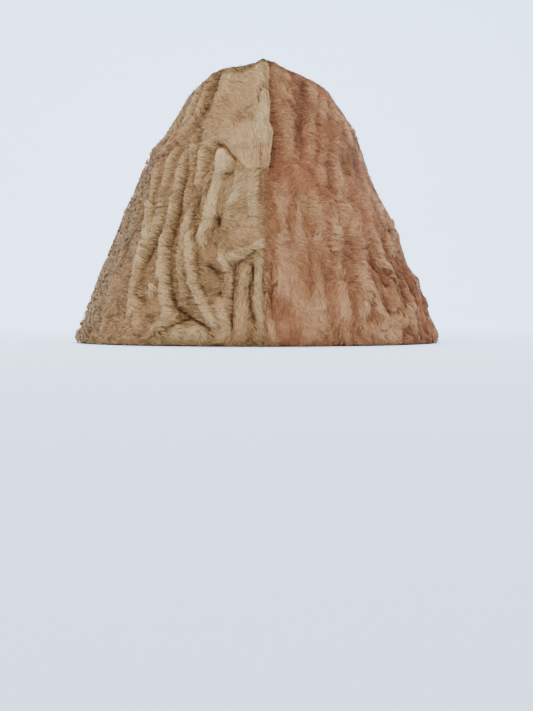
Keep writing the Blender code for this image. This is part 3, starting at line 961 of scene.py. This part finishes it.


# The root colour also serves as painted shade in the hollows, and the tip colour as painted light
# on the crests.
golden_hair = pelt_finish(
    "golden_hair", rgb(76, 50, 28), rgb(159, 124, 83), rgb(207, 176, 129), rgb(183, 130, 89)
)
russet_hair = pelt_finish(
    "russet_hair", rgb(82, 47, 29), rgb(147, 99, 67), rgb(192, 151, 108), rgb(156, 92, 60)
)
crown_hair = pelt_finish(
    "crown_hair", rgb(84, 50, 28), rgb(156, 114, 74), rgb(198, 162, 116), rgb(172, 110, 70)
)
print("three pelts mixed")

# %% [markdown]
# ## The pelts
# Under the hair lies the skin with its relief: the outside of each side, the fold over the
# top, and inside it the turned-in hem. A thick solid would only hide what nobody sees, so
# each side is one sheet, run from the top of the hem down round the rim and up the wall.
# Between the hairs one sees down to it, so it has the colour of the roots, with painted shade in
# its hollows. Its columns stand closer at the front, where the relief is charted.

# %% The skin of the two sides
SKIN_COLUMNS = 210
FRONT_COLUMNS = 0.76         # this share of the columns
FRONT_SHARE = 0.50           # goes to this share of the way round
SKIN_ROWS = 94
SKIN_DEPTH = -0.2 * MM       # the skin lies a little under the roots
BACK_SKIN_DEPTH = -0.8 * MM
DEEPER_FROM = (0.30, 0.48)   # share round
SEAM_TUCK = 1.0 * MM         # the edge at the front seam is tucked in
SKIN_LIGHT = 0.06
SKIN_LIGHT_PER_MM = 0.14
SKIN_LIGHT_BEHIND, PALER_FROM = 0.22, (0.28, 0.36)

HEM_HEIGHT = 18.0 * MM
HEM_ROWS = 8
HEM_INSET = 6.4 * MM         # how far inside the outline the hem stands,
HEM_EDGE_INSET = 4.6 * MM    # and at the rim itself
HEM_ROLL = 0.25              # share of its height in which it rolls from the one to the other
HEM_PUFF = 0.5 * MM
HEM_LIGHT = 0.1
SEAM_ROOM = 0.15 * MM


def hem_skin(side, u):
    """The hem inside the rim, from the rim up."""
    up = np.linspace(0.0, 1.0, HEM_ROWS)[None, :]
    z = HEM_HEIGHT * up
    roll = np.sqrt(np.maximum(0.0, 1.0 - (1.0 - np.minimum(up / HEM_ROLL, 1.0)) ** 2))
    x, y = oval(u, z / MIDDLE_HEIGHT, HEM_EDGE_INSET + (HEM_INSET - HEM_EDGE_INSET) * roll)
    x = x + bulge(side, z / MIDDLE_HEIGHT) * np.sin(np.pi * u)
    puffs = HEM_PUFF * noise(u * 60.0, up * 3.0, layer=20 + side)
    x = np.maximum(x * (1.0 - puffs / RIM_HALF_WIDTH), SEAM_ROOM)
    return np.stack([side * x, y, z + 0.0 * x], axis=-1)


def side_skin(side, name, finish):
    """The outside from the rim to the insert's seam, and the hem inside the rim."""
    u = np.linspace(0.0, 1.0, SKIN_COLUMNS)
    u = np.interp(u, (0.0, FRONT_COLUMNS, 1.0), (0.0, FRONT_SHARE, 1.0))[:, None]
    v = np.linspace(0.0, FOLD_TOP, SKIN_ROWS)[None, :]
    start = np.minimum(seam_edge(side, v), 0.0)
    a, v = np.broadcast_arrays(start + (1.0 - start) * u, v)
    deeper = (BACK_SKIN_DEPTH - SKIN_DEPTH) * ramp(a, *DEEPER_FROM)
    outside = coat(side, a, v, SKIN_DEPTH + deeper)
    outside[0] -= out_of_form(side, a[0], v[0]) * SEAM_TUCK
    hem = hem_skin(side, u)
    points = np.concatenate([hem[:, ::-1], outside], axis=1)

    light = SKIN_LIGHT + SKIN_LIGHT_PER_MM * relief(side, a, v)
    light = light + SKIN_LIGHT_BEHIND * ramp(a, *PALER_FROM)
    light = np.concatenate([np.full(hem.shape[:2], HEM_LIGHT), light], axis=1)
    tone = 0.5 + 0.2 * noise(light * 9.0, u * 80.0)
    tint = np.stack([light, 0.0 * light, tone], axis=-1)
    quads = grid_quads(SKIN_COLUMNS, HEM_ROWS + SKIN_ROWS, flip=side > 0)
    return new_mesh(name, points, quads, tint, finish)


left_skin = side_skin(LEFT, "left_pelt", golden_hair)
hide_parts("left_panel")
right_skin = side_skin(RIGHT, "right_pelt", russet_hair)
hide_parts("right_panel")
print("skin of a side:", len(left_skin.data.polygons), "quads")

# %% [markdown]
# ## The insert
# The piece set in between the two folds is cut like a long leaf. A thumb run along it has
# creased it downward, which is how the cap is folded flat and carried in a pocket. A cloth
# simulation could find that crease, but it would settle a little differently each time one
# changed a size. A curve from seam to seam, steepest at the middle, is as true and steady.

# %% The skin of the insert
INSERT_COLUMNS = 140
INSERT_ROWS = 44
INSERT_ENDS = 0.045          # it starts and ends this share of the way from the points
INSERT_GAP = 0.4 * MM
CREASE_STEEPNESS = 0.9
CREASE_CURVE = 1.5
CURL_HEIGHT = 0.5            # mm
INSERT_LIGHT, INSERT_LIGHT_PER_MM, CREASE_SHADE = 0.12, 0.15, 0.10


def crease_dip(reach, across_share):
    """How far the crease takes the insert down. It runs from -1 to 1 across."""
    return CREASE_STEEPNESS * reach * np.maximum(1.0 - np.abs(across_share), 0.0) ** CREASE_CURVE


def insert_surface(a, across_share):
    """Points of the insert: a along it from front to back, across_share from -1 to 1."""
    reach = np.maximum(seam_across(a) - INSERT_GAP, 0.0)
    dip = crease_dip(reach, across_share)
    z = ridge_height(a) - SEAM_DROP * fold_fade(a) - dip
    return np.stack([across_share * reach, oval(a, 1.0)[1] + 0.0 * dip, z], axis=-1)


def insert_relief(points):
    """Curl on the insert, in mm."""
    x, y = points[..., 0] / MM, points[..., 1] / MM
    curl = uneven(x, y, (4.0, 7.0), layer=30) + np.abs(uneven(x, y, (6.5, 4.0), layer=31))
    return CURL_HEIGHT * curl


def insert_coat(a, across_share):
    base = insert_surface(a, across_share)
    out = -normals_of(insert_surface, a, across_share, step_a=0.004, step_v=0.02)
    return base + out * (insert_relief(base) * MM)[..., None]


def insert_skin():
    a = np.linspace(INSERT_ENDS, 1.0 - INSERT_ENDS, INSERT_COLUMNS)[:, None]
    across_share = np.linspace(-1.0, 1.0, INSERT_ROWS)[None, :]
    a, across_share = np.broadcast_arrays(a, across_share)
    points = insert_coat(a, across_share)
    light = INSERT_LIGHT + INSERT_LIGHT_PER_MM * insert_relief(points)
    light = light - CREASE_SHADE * (1.0 - np.abs(across_share))
    tint = np.stack([light, 0.0 * light, 0.5 + 0.0 * light], axis=-1)
    quads = grid_quads(INSERT_COLUMNS, INSERT_ROWS, flip=True)
    return new_mesh("crown_pelt_skin", points, quads, tint, crown_hair)


crown_skin = insert_skin()
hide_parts("crown_insert")
print("skin of the insert:", len(crown_skin.data.polygons), "quads")

# %% [markdown]
# ## Combing
# Lamb's hair grows in small locks. To find its way over the relief for each hair alone
# would take far too long. So a lock is combed first as a single path: it starts at a root,
# and takes two steps in the direction the coat lies there.

# %% Combing locks
STATIONS = 3                 # on a path, from root to tip
THINNING = 0.6               # how much fewer locks stand where a side is less wide
EDGE_SLACK = 0.001           # share round


def steps_of(surface, a, v, heading, distance, least):
    """The change of (a, v) that moves distance over the surface in a heading: 0 is toward
    the back seam, a quarter turn is up. Where the surface runs to a point, least keeps the
    step from growing without end."""
    small_a, small_v = 0.002, 0.004
    per_a = np.linalg.norm(surface(a + small_a, v) - surface(a - small_a, v), axis=-1)
    per_v = np.linalg.norm(surface(a, v + small_v) - surface(a, v - small_v), axis=-1)
    per_a = np.maximum(per_a / (2.0 * small_a), least)
    per_v = np.maximum(per_v / (2.0 * small_v), least)
    return np.cos(heading) * distance / per_a, np.sin(heading) * distance / per_v


def comb(surface, smooth_surface, shade, a, v, heading, length, flip, least=70.0 * MM, edge=None):
    """Paths of locks from roots (a, v): points, sideways directions, normals, directions
    ahead and the light at each station. Where there is an edge, a lock doesn't cross it."""
    paths = []
    step = length / (STATIONS - 1)
    for k in range(STATIONS):
        paths.append((a, v))
        da, dv = steps_of(smooth_surface, a, v, heading(a, v), step, least)
        a, v = a + da, v + dv
        if edge is not None:
            a = np.maximum(a, edge(v))
    points = np.stack([surface(p, q) for p, q in paths], axis=1)
    out = np.stack([normals_of(surface, p, q) * flip for p, q in paths], axis=1)
    light = np.stack([shade(p, q) for p, q in paths], axis=1)
    ahead = unit(np.gradient(points, axis=1))
    sideways = unit(np.cross(ahead, out))
    return points, sideways, np.cross(sideways, ahead), ahead, light


def roots_over(side, low_a, high_a, low_v, high_v, count, rng):
    """Roots scattered evenly over a part of a side: fewer where it is less wide."""
    drawn = 6 * count
    a = rng.uniform(low_a, high_a, drawn)
    v = rng.uniform(low_v, high_v, drawn)
    room = half_width(v) / RIM_HALF_WIDTH * THINNING + (1.0 - THINNING)
    kept = (rng.random(drawn) < room) & (a > seam_edge(side, v) - EDGE_SLACK)
    return a[kept][:count], v[kept][:count]


print("a lock takes", STATIONS - 1, "steps")

# %% [markdown]
# ## Hairs of a lock
# The hairs follow the path of their lock side by side and draw together toward its tip. A
# round hair would cost dozens of triangles and never be seen as round. A ribbon that
# tapers to a point lies like hair and costs three. A few stray hairs stand off.

# %% Hairs of a lock
CLOSING = np.array([1.0, 0.85, 0.55])   # how the hairs of a lock draw together
WANDER = 0.2                            # share of a lock's spread that a hair wanders
SLIDE = 1.4                             # mm that a hair is moved along the path, at most
TAPER = np.array([1.0, 0.8])
ROLL = 0.35                             # radians
THICKNESSES = (0.7, 1.3)                # share of the width
LYING = np.array([-0.12, 0.24, 0.08])   # mm over the relief, from root to tip
LYING_SHARES = (0.4, 1.4)
RISING = np.array([0.0, 0.6, 1.5])      # the same for a hair that stands off
RISING_SHARES = (0.4, 1.3)
LOWEST = 0.1 * MM                       # hair stays over what the cap stands on
LOCK_TONES, HAIR_TONES = 0.10, 0.18     # how much locks and single hairs differ in tone


def hairs_of(locks, per_lock, width, spread, stray, rng):
    """Ribbons of the hairs of some locks: points, quads, triangles and tints."""
    points, sideways, out, ahead, light = (np.repeat(part, per_lock, axis=0) for part in locks)
    count = len(points)
    aside = rng.normal(0.0, spread, (count, 1, 1)) * CLOSING[None, :, None]
    wander = rng.normal(0.0, WANDER * spread, (count, STATIONS, 1))
    slide = rng.uniform(-SLIDE, SLIDE, (count, 1, 1)) * MM
    wild = (rng.random((count, 1, 1)) < stray) * rng.uniform(*RISING_SHARES, (count, 1, 1))
    lift = LYING[None, :, None] * rng.uniform(*LYING_SHARES, (count, 1, 1))
    lift = lift + wild * RISING[None, :, None]
    middle = points + sideways * (aside + wander) + ahead * slide + out * lift * MM

    roll = rng.normal(0.0, ROLL, (count, 1, 1))
    flat = sideways * np.cos(roll) + out * np.sin(roll)
    thick = width * rng.uniform(*THICKNESSES, (count, 1, 1))
    edge = 0.5 * thick * TAPER[None, :, None] * flat[:, :2]
    corners = np.concatenate([middle[:, :2] - edge, middle[:, :2] + edge, middle[:, 2:]], axis=1)
    corners[..., 2] = np.maximum(corners[..., 2], LOWEST)

    first = (np.arange(count) * 5)[:, None]
    quads = first + (0, 1, 3, 2)
    triangles = first + (1, 4, 3)
    tone = np.repeat(rng.normal(0.5, LOCK_TONES, count // per_lock), per_lock)
    tone = tone + rng.normal(0.0, HAIR_TONES, count)
    station = np.array([0, 1, 0, 1, 2])
    tint = np.stack([
        light[:, station],
        np.broadcast_to(station / 2.0, (count, 5)),
        np.broadcast_to(tone[:, None], (count, 5)),
    ], axis=-1)
    return corners, quads, triangles, tint


print("hairs at their tips lie", LYING[-1], "mm over the relief")

# %% [markdown]
# ## Which way the coat lies
# On the left the hair lies across the ribs, toward the seam. Under the smooth part at the
# top it hangs down, and it opens like a star where two lots of curl part. On the right it
# lies back from the seam and droops toward the rim. Round a knot it winds. All this could
# be brushed by hand in particle mode, which nobody can read or repeat. Here it is an angle
# for every place: 0 is back from the front seam, a quarter turn is up.

# %% Which way the coat lies
STARS = {
    # round, up, reach in mm, strength
    LEFT: ((11.2, 45.2, 15.0, 1.0),),
    RIGHT: ((10.0, 50.0, 12.0, 0.5), (16.0, 22.0, 14.0, 0.6)),
}
STAR_PULL = 3.0
KNOT_PULL = 4.0
NEAREST = 0.2                            # mm, so that the very middle has a way out too
WAVE, WAVE_SIZE = 0.40, (9.0, 9.0)       # radians; mm round and up
RIPPLE, RIPPLE_SIZE = 0.25, (2.6, 2.2)
# The left side's own ways: where each comes up or ends, at shares round or up
CALM_FROM, CALM_END, CALMNESS = (0.70, 0.74), (0.19, 0.21), 0.6
HANGING_FROM, HANGING_TOP, HANGING_END = (0.60, 0.66), (0.79, 0.87), (0.10, 0.16)
HANGING_TURN = 1.35                      # radians
LOW_RIB_TOP, LOW_RIB_END = (0.26, 0.31), (0.055, 0.065)
LOW_RIB_TURN, PARTING, PARTED_TURN = 1.1, (0.022, 0.030), 1.0
SWEPT_FROM, SWEPT_END = (0.80, 0.88), (0.02, 0.085)
SWEPT_TURN, SEAM_SWEPT_TURN = 0.40, 1.0
LAP_HAIR_REACH = 4.5                     # mm
# The right side's
BACKWARD = -0.15
DROOP, DROOP_TOP = 1.1, (0.12, 0.42)
RIGHT_WAVE, DROOPING_WAVE = 1.3, 1.2
LIFTED_AT_RIM, RIM_LIFT_FROM = 0.8, (-5.0, 0.0)   # share; mm


def left_angle(a, t, v, wave):
    wave = wave * (1.0 - CALMNESS * ramp(v, *CALM_FROM) * until(t, *CALM_END))
    hanging = ramp(v, *HANGING_FROM) * until(v, *HANGING_TOP) * until(t, *HANGING_END)
    from_lap = (half_width(v) * np.sin(np.pi * a)) / MM + lap(v)
    along_lap = lapped(v) * np.exp(-((from_lap / LAP_HAIR_REACH) ** 2))
    angle = np.pi + wave + HANGING_TURN * np.maximum(hanging, along_lap)
    low_rib = until(v, *LOW_RIB_TOP) * until(t, *LOW_RIB_END)
    angle = angle + (LOW_RIB_TURN + PARTED_TURN * ramp(t, *PARTING)) * low_rib
    swept = SWEPT_TURN + SEAM_SWEPT_TURN * until(t, *SWEPT_END)
    return angle + swept * ramp(v, *SWEPT_FROM) * (1.0 - along_lap)


def right_angle(v, wave):
    low_part = until(v, *DROOP_TOP)
    return BACKWARD - DROOP * low_part + wave * (RIGHT_WAVE + DROOPING_WAVE * low_part)


def way_out(t, v, place, up, reach):
    """The direction away from a charted place, round and up, fading with its distance."""
    dx, dy = off_place(t, v, place, up)
    far = np.hypot(dx, dy) + NEAREST
    fading = np.exp(-((far / reach) ** 2)) / far
    return dx * fading, dy * fading


def heading_on(side):
    """The direction field of a side."""
    def heading(a, v):
        t = share(a, v)
        x, y = t * side_girth(v), v * RISE
        wave = WAVE * uneven(x, y, WAVE_SIZE, layer=40 + side)
        wave = wave + RIPPLE * uneven(x, y, RIPPLE_SIZE, layer=44 + side)
        angle = left_angle(a, t, v, wave) if side == LEFT else right_angle(v, wave)
        toward_x, toward_y = np.cos(angle), np.sin(angle)
        for place, up, reach, strength in STARS[side]:
            out_x, out_y = way_out(t, v, place, up, reach)
            toward_x = toward_x + STAR_PULL * strength * out_x
            toward_y = toward_y + STAR_PULL * strength * out_y
        for place, up, radius, _, winding in KNOTS[side]:
            out_x, out_y = way_out(t, v, place, up, radius)
            toward_x = toward_x - KNOT_PULL * winding * out_y
            toward_y = toward_y + KNOT_PULL * winding * out_x
        low = ramp(-y, *RIM_LIFT_FROM)
        return np.arctan2(toward_y * (1.0 - LIFTED_AT_RIM * low), toward_x)

    return heading


print("hair in the middle of the left side points", round(float(heading_on(LEFT)(0.3, 0.5)), 2))

# %% [markdown]
# ## How much light a place gets
# The hollows of a coat are dark because the hair around shades them. The renderer works that out
# for real shadows, but one lock stands for many hairs here, so too much light gets through. The
# depth of the relief darkens the colour as well, as painted shade, and pales the crests as painted
# light. A few soft patches are paler or darker than around: some are the pelts' own tone, and the
# dark strip beside the front seam on the right is painted shade.

# %% How much light a place gets
# Where the coat is paler or darker than around, by its own tone or as painted shade: place in
# percent, reach in mm, change
PALE_AND_SHADED_PLACES = {
    # round, up, reach, change
    LEFT: (
        (6.0, 57.0, 9.0, 0.36),
        (9.6, 54.0, 6.0, 0.20),
        (5.0, 41.0, 9.0, 0.34),
        (5.0, 12.0, 8.0, 0.18),
        (12.0, 5.0, 7.0, 0.16),
        (4.0, 77.0, 11.0, 0.14),
        (15.0, 84.0, 12.0, -0.22),
    ),
    RIGHT: (
        # painted shade: the dark strip beside the lap of the front seam
        (2.5, 92.0, 6.0, -0.26),
        (3.0, 84.0, 6.0, -0.16),
        (9.0, 90.0, 5.0, 0.10),
        (16.0, 84.0, 5.0, -0.14),
        (6.0, 18.0, 16.0, 0.22),
        (15.0, 12.0, 12.0, 0.16),
        (36.0, 24.0, 16.0, -0.34),
        (18.0, 88.0, 14.0, -0.12),
        (14.0, 62.0, 15.0, -0.16),
    ),
}
LIGHT_AT_SKIN = {LEFT: 0.10, RIGHT: 0.31}
LIGHT_PER_MM = {LEFT: 0.38, RIGHT: 0.34}
LAP_UNLIT = {LEFT: 0.75, RIGHT: 0.3}    # share of the lap's height that doesn't count
STREAKS = {LEFT: 0.06, RIGHT: 0.20}
STREAK_SIZE, FLECK_SIZE, FLECK_SHARE = (4.2, 13.0), (2.4, 4.0), 0.5   # mm round and up
EVENER_FROM, EVENNESS = (0.30, 0.42), 0.45   # share round, past which depth counts less
DARKEST = -0.38              # light at the bottom of the deepest folds


def light_on(side):
    """How much light the places of a side get: little in a hollow and most on a crest."""
    def shade(a, v):
        t = share(a, v)
        x, y = t * side_girth(v), v * RISE
        streaks = uneven(x, y, STREAK_SIZE, layer=50 + side)
        streaks = streaks + FLECK_SHARE * uneven(x, y, FLECK_SIZE, layer=54 + side)
        height = relief(side, a, v) - LAP_UNLIT[side] * lap_relief(side, a, v)
        height = height * (1.0 - EVENNESS * ramp(a, *EVENER_FROM))
        light = LIGHT_AT_SKIN[side] + LIGHT_PER_MM[side] * height + STREAKS[side] * streaks
        for place, up, reach, change in PALE_AND_SHADED_PLACES[side]:
            far = np.hypot(*off_place(t, v, place, up)) / reach
            light = light + change * np.exp(-(far**2))
        return np.clip(light, DARKEST, 1.0)

    return shade


print("light in the middle of the left side:", round(float(light_on(LEFT)(0.3, 0.5)), 2))

# %% [markdown]
# ## The fur of the two sides
# The front is combed most densely, because it is what one sees of a cap on a shelf. Each side's fur
# is made in four parts, so that no single mesh grows too heavy, and the parts further back have
# fewer and wider hairs.

# %% Comb both sides
FUR_PARTS = (
    # name, from round, to round, locks, hairs in a lock, hair width in mm
    ("brow", -0.035, 0.12, 3900, 12, 0.26),
    ("temple", 0.12, 0.29, 3700, 12, 0.28),
    ("flank", 0.29, 0.49, 3000, 10, 0.34),
    ("nape", 0.49, 1.003, 2300, 8, 0.64),
)
HAIR_LENGTH = 4.4 * MM
HAIR_LENGTHS = (0.7, 1.25)   # share of it
SPREAD = 0.55 * MM
WIDER_BY = 0.6               # with this and its hair width, a part's locks grow in size
STRAY_SHARE = 0.007
LOWEST_ROOT, ROOT_ROOM = 0.008, 0.01   # v at the rim, and short of the seam of the insert
LOWEST_V = 0.003


def side_fur(side, part, rng):
    """The hair of one part of a side, as arrays."""
    _, low_a, high_a, locks, per_lock, width = part
    a, v = roots_over(side, low_a, high_a, LOWEST_ROOT, FOLD_TOP - ROOT_ROOM, locks, rng)
    size = WIDER_BY + width
    length = HAIR_LENGTH * rng.uniform(*HAIR_LENGTHS, len(a)) * size

    def surface(p, q):
        return coat(side, p, np.clip(q, LOWEST_V, FOLD_TOP))

    def smooth_surface(p, q):
        return form(side, p, np.clip(q, LOWEST_V, FOLD_TOP))

    def edge(q):
        return seam_edge(side, q)

    heading = heading_on(side)
    locks = comb(surface, smooth_surface, light_on(side), a, v, heading, length, side, edge=edge)
    return hairs_of(locks, per_lock, width * MM, SPREAD * size, STRAY_SHARE, rng)


fur_rng = np.random.default_rng(SEED + 2)
total = 0
for side, word, finish, node_slot in (
    (LEFT, "left", golden_hair, "beige_pelt"),
    (RIGHT, "right", russet_hair, "russet_pelt"),
):
    for part in FUR_PARTS:
        points, quads, triangles, tint = side_fur(side, part, fur_rng)
        fur = new_mesh(f"fur_{word}_{part[0]}", points, quads, tint, finish, triangles, False)
        total += len(quads) * 2 + len(triangles)
print("hair of the sides:", total, "triangles")

# %% [markdown]
# ## The fur of the insert
# It is the same hair, combed along the crease toward the back. Little of it shows, so the
# same two helpers do with fewer locks.

# %% Comb the insert
CROWN_LOCKS = 1300
CROWN_HAIRS = 8
CROWN_HAIR_WIDTH = 0.5 * MM
CROWN_HAIR_LENGTHS = (0.8, 1.3)
CROWN_SPREAD = 1.1 * SPREAD
CROWN_LIGHT, CROWN_LIGHT_PER_MM, CREASE_DARK = 0.30, 0.34, 0.25
CROWN_LEAST = 8.0 * MM       # keeps steps short at the insert's two points
CROWN_WAVE = 0.9             # radians
ROOTS_ACROSS, TIPS_ACROSS = 0.97, 0.99   # shares of the way to the seams


def crown_fur(rng):
    """The hair of the insert, as arrays."""
    a = rng.uniform(INSERT_ENDS + 0.01, 0.99 - INSERT_ENDS, 2 * CROWN_LOCKS)
    across_share = rng.uniform(-ROOTS_ACROSS, ROOTS_ACROSS, 2 * CROWN_LOCKS)
    kept = rng.random(2 * CROWN_LOCKS) < seam_across(a) / np.max(seam_across(a))
    a, across_share = a[kept][:CROWN_LOCKS], across_share[kept][:CROWN_LOCKS]
    length = HAIR_LENGTH * rng.uniform(*CROWN_HAIR_LENGTHS, len(a))

    def surface(p, q):
        p = np.clip(p, INSERT_ENDS, 1.0 - INSERT_ENDS)
        return insert_coat(p, np.clip(q, -TIPS_ACROSS, TIPS_ACROSS))

    def shade(p, q):
        lit = CROWN_LIGHT + CROWN_LIGHT_PER_MM * insert_relief(surface(p, q))
        return lit - CREASE_DARK * (1.0 - np.abs(q)) ** 2

    def heading(p, q):
        return CROWN_WAVE * noise(p * 22.0, q * 3.0, layer=60)

    locks = comb(surface, surface, shade, a, across_share, heading, length, -1, CROWN_LEAST)
    return hairs_of(locks, CROWN_HAIRS, CROWN_HAIR_WIDTH, CROWN_SPREAD, STRAY_SHARE, rng)


points, quads, triangles, tint = crown_fur(fur_rng)
fur = new_mesh("fur_crown", points, quads, tint, crown_hair, triangles, False)
print("hair of the insert:", len(quads) * 2 + len(triangles), "triangles")

# %% [markdown]
# ## The lining
# Dark cotton cloth, cut to the inside of the cap and stitched to the top of the hem. Only
# its inner face can be seen, so it is one sheet, and its weave is two fine waves that cross
# in the colour, too small for the mesh to carry.

# %% Lining cloth
PELT = 3.0 * MM              # thickness of a side
CLOTH = 0.6 * MM
LINING_GAP = 0.7 * MM
CEILING_HANG = 1.2 * MM
LINING_COLUMNS, WALL_ROWS, CEILING_ROWS = 120, 22, 10
WALL_TOP = 0.94              # v where the cloth leaves the wall
ROOF_OUT = 0.6               # how far out from the insert's seam its next row stands
THREADS = 260.0              # of the weave's waves in a metre


def cloth_finish():
    finish, shader, start = new_finish("lining_cotton")
    where = start.node("ShaderNodeTexCoord", output=3)
    warp, weft = (
        start.node(
            "ShaderNodeTexWave", (("bands_direction", way),), output=1, Vector=where, Scale=THREADS
        )
        for way in ("Z", "X")
    )
    weave = (warp * 0.5 + weft * 0.5).clamped()
    colour = weave.blend(rgb(14, 14, 20), rgb(38, 38, 50))
    start.tree.links.new(colour.socket, shader.inputs["Base Color"])
    rough = (weave * 0.15 + 0.7).clamped()
    start.tree.links.new(rough.socket, shader.inputs["Roughness"])
    shader.inputs["Sheen Weight"].default_value = 0.15
    return finish


def lining_half(side):
    """One side of the cloth's inner face: up the wall and across the top."""
    inset = PELT + LINING_GAP + CLOTH
    a = np.linspace(0.0, 1.0, LINING_COLUMNS)[:, None]
    foot_v = (HEM_HEIGHT + LINING_GAP) / MIDDLE_HEIGHT
    wall_v = np.linspace(foot_v, WALL_TOP, WALL_ROWS)[None, :]
    x, y = oval(*np.broadcast_arrays(a, wall_v), inset)
    x = x + bulge(side, wall_v) * np.sin(np.pi * a)
    wall_z = wall_v * (ridge_height(a) - FOLD_DROP * fold_fade(a) + puff(side, a))
    wall = np.stack([x, y, wall_z], axis=-1)

    reach = np.maximum(seam_across(a) - INSERT_GAP, 0.0)
    top_x, top_y = oval(a, 1.0, inset)
    top_x = np.maximum(top_x + bulge(side, 1.0) * np.sin(np.pi * a), reach)
    roof_z = ridge_height(a) - inset - CLOTH
    roof_x = top_x * ROOF_OUT + reach * (1.0 - ROOF_OUT)
    roof = np.stack([roof_x, top_y, roof_z], axis=-1)
    across_share = np.linspace(1.0, 0.0, CEILING_ROWS)[None, :]
    dip = crease_dip(reach, across_share)
    seam_z = ridge_height(a) - SEAM_DROP * fold_fade(a)
    ceiling_z = seam_z - dip - inset - CEILING_HANG
    ceiling = np.stack([reach * across_share, top_y + 0.0 * dip, ceiling_z], axis=-1)
    return np.concatenate([wall, roof, ceiling], axis=1) * (side, 1.0, 1.0)


def lining_mesh():
    """The cloth, its two sides joined along the middle of the ceiling."""
    right, left = lining_half(RIGHT), lining_half(LEFT)
    points = np.concatenate([right, left[:, -2::-1]], axis=1)
    columns, rows = points.shape[:2]
    tint = np.full((columns * rows, 3), 0.5)
    return new_mesh("lining_cloth", points, grid_quads(columns, rows), tint, cloth_finish())


lining = lining_mesh()
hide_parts("lining")
print("lining:", len(lining.data.polygons), "quads")

# %% [markdown]
# ## The paper behind
# A pale sheet of paper without a corner, as small photo studios have it. A plane and a
# wall would show a line where they meet, so one profile runs along the floor, up a bend and
# on up the wall.

# %% Paper sweep
SWEEP_FRONT = -6.0           # m, as are the sizes below
SWEEP_BACK = 1.5
SWEEP_HEIGHT = 1.6
SWEEP_HALF_WIDTH = 6.0
SWEEP_BEND = 0.7
SWEEP_STEPS = 24


def paper_sweep():
    finish, shader, start = new_finish("pale_paper")
    where = start.node("ShaderNodeTexCoord", output=3)
    cloud = start.node("ShaderNodeTexNoise", Vector=where, Scale=1.2, Detail=1.0)
    colour = cloud.blend(rgb(209, 228, 255), rgb(218, 233, 255))
    start.tree.links.new(colour.socket, shader.inputs["Base Color"])
    shader.inputs["Roughness"].default_value = 0.9
    profile = [(SWEEP_FRONT, 0.0)]
    for turn in np.linspace(0.0, np.pi / 2.0, SWEEP_STEPS):
        along, up = math.sin(turn), 1.0 - math.cos(turn)
        profile.append((SWEEP_BACK + SWEEP_BEND * along, SWEEP_BEND * up))
    profile.append((SWEEP_BACK + SWEEP_BEND, SWEEP_HEIGHT))
    points = np.array([
        (x, y, z) for x in (-SWEEP_HALF_WIDTH, SWEEP_HALF_WIDTH) for y, z in profile
    ])
    mesh = bpy.data.meshes.new("paper_sweep")
    quads = grid_quads(2, len(profile))
    mesh.from_pydata(points.tolist(), [], quads.tolist())
    mesh.shade_smooth()
    mesh.materials.append(finish)
    sweep = bpy.data.objects.new("paper_sweep", mesh)
    bpy.context.scene.collection.objects.link(sweep)
    return sweep


paper_sweep()
print("the paper reaches", -SWEEP_FRONT, "m to the front")

# %% [markdown]
# ## Light
# Fur shows its form in soft light with a clear side to it. One big window to the upper left
# gives that, and a fill and a top light keep the other side open. A single sun would draw
# each hair hard. The paper has a light of its own, so that it stays pale behind the cap.

# %% Soft lights
CAP_MIDDLE = (0, 0, 0.06)
LIGHTS = (
    # name, place and aim in m, size in m, power in W, colour
    ("window", (-1.0, -1.0, 1.1), CAP_MIDDLE, 0.7, 21.0, (1.0, 0.98, 0.95)),
    ("fill", (1.3, -1.2, 0.6), CAP_MIDDLE, 1.0, 17.0, (0.98, 0.98, 1.0)),
    ("top", (0.0, 0.3, 1.6), CAP_MIDDLE, 1.6, 10.0, (1.0, 1.0, 1.0)),
    ("paper_light", (0.0, 0.9, 2.2), (0, 2.1, 0.4), 2.0, 200.0, (0.87, 0.94, 1.0)),
)
ROOM_COLOUR = rgb(225, 231, 240)
ROOM_STRENGTH = 0.75


def soft_light(name, place, aim, size, power, colour):
    lamp = bpy.data.lights.new(name, "AREA")
    lamp.shape = "SQUARE"
    lamp.size = size
    lamp.energy = power
    lamp.color = colour
    holder = bpy.data.objects.new(name, lamp)
    holder.location = place
    holder.rotation_euler = (Vector(aim) - Vector(place)).to_track_quat("-Z", "Y").to_euler()
    bpy.context.scene.collection.objects.link(holder)


for row in LIGHTS:
    soft_light(*row)

world = bpy.data.worlds.new("pale_room")
bpy.context.scene.world = world
world.use_nodes = True
world.node_tree.nodes["Background"].inputs["Color"].default_value = ROOM_COLOUR
world.node_tree.nodes["Background"].inputs["Strength"].default_value = ROOM_STRENGTH
print("lights:", [row[0] for row in LIGHTS])

# %% [markdown]
# ## Camera
# It looks at the front seam from a little to the left and almost from the table, as the photo does.
# A tracking constraint would put the cap in the middle of the picture. Pan and tilt are given
# instead, because the photo has it a little off.

# %% Camera
CAMERA_DISTANCE = 0.750
CAMERA_HEIGHT = 15.0 * MM
CAMERA_AZIMUTH = math.radians(-2.0)
CAMERA_PAN = math.radians(0.36)
CAMERA_TILT = math.radians(-1.64)
LENS_MM = 77.5

eye = Vector((
    CAMERA_DISTANCE * math.sin(CAMERA_AZIMUTH),
    -CAMERA_DISTANCE * math.cos(CAMERA_AZIMUTH),
    CAMERA_HEIGHT,
))
camera_data = bpy.data.cameras.new("camera")
camera_data.lens = LENS_MM
camera_data.clip_start = 0.01
camera = bpy.data.objects.new("camera", camera_data)
camera.location = eye
camera.rotation_mode = "XYZ"
camera.rotation_euler = (math.pi / 2.0 + CAMERA_TILT, 0.0, CAMERA_AZIMUTH - CAMERA_PAN)
bpy.context.scene.collection.objects.link(camera)
bpy.context.scene.camera = camera
print("camera at", [round(value, 3) for value in eye])

# %% [markdown]
# ## Finish
# The scene is brought up to date.

# %% Bring the scene up to date
bpy.context.view_layer.update()
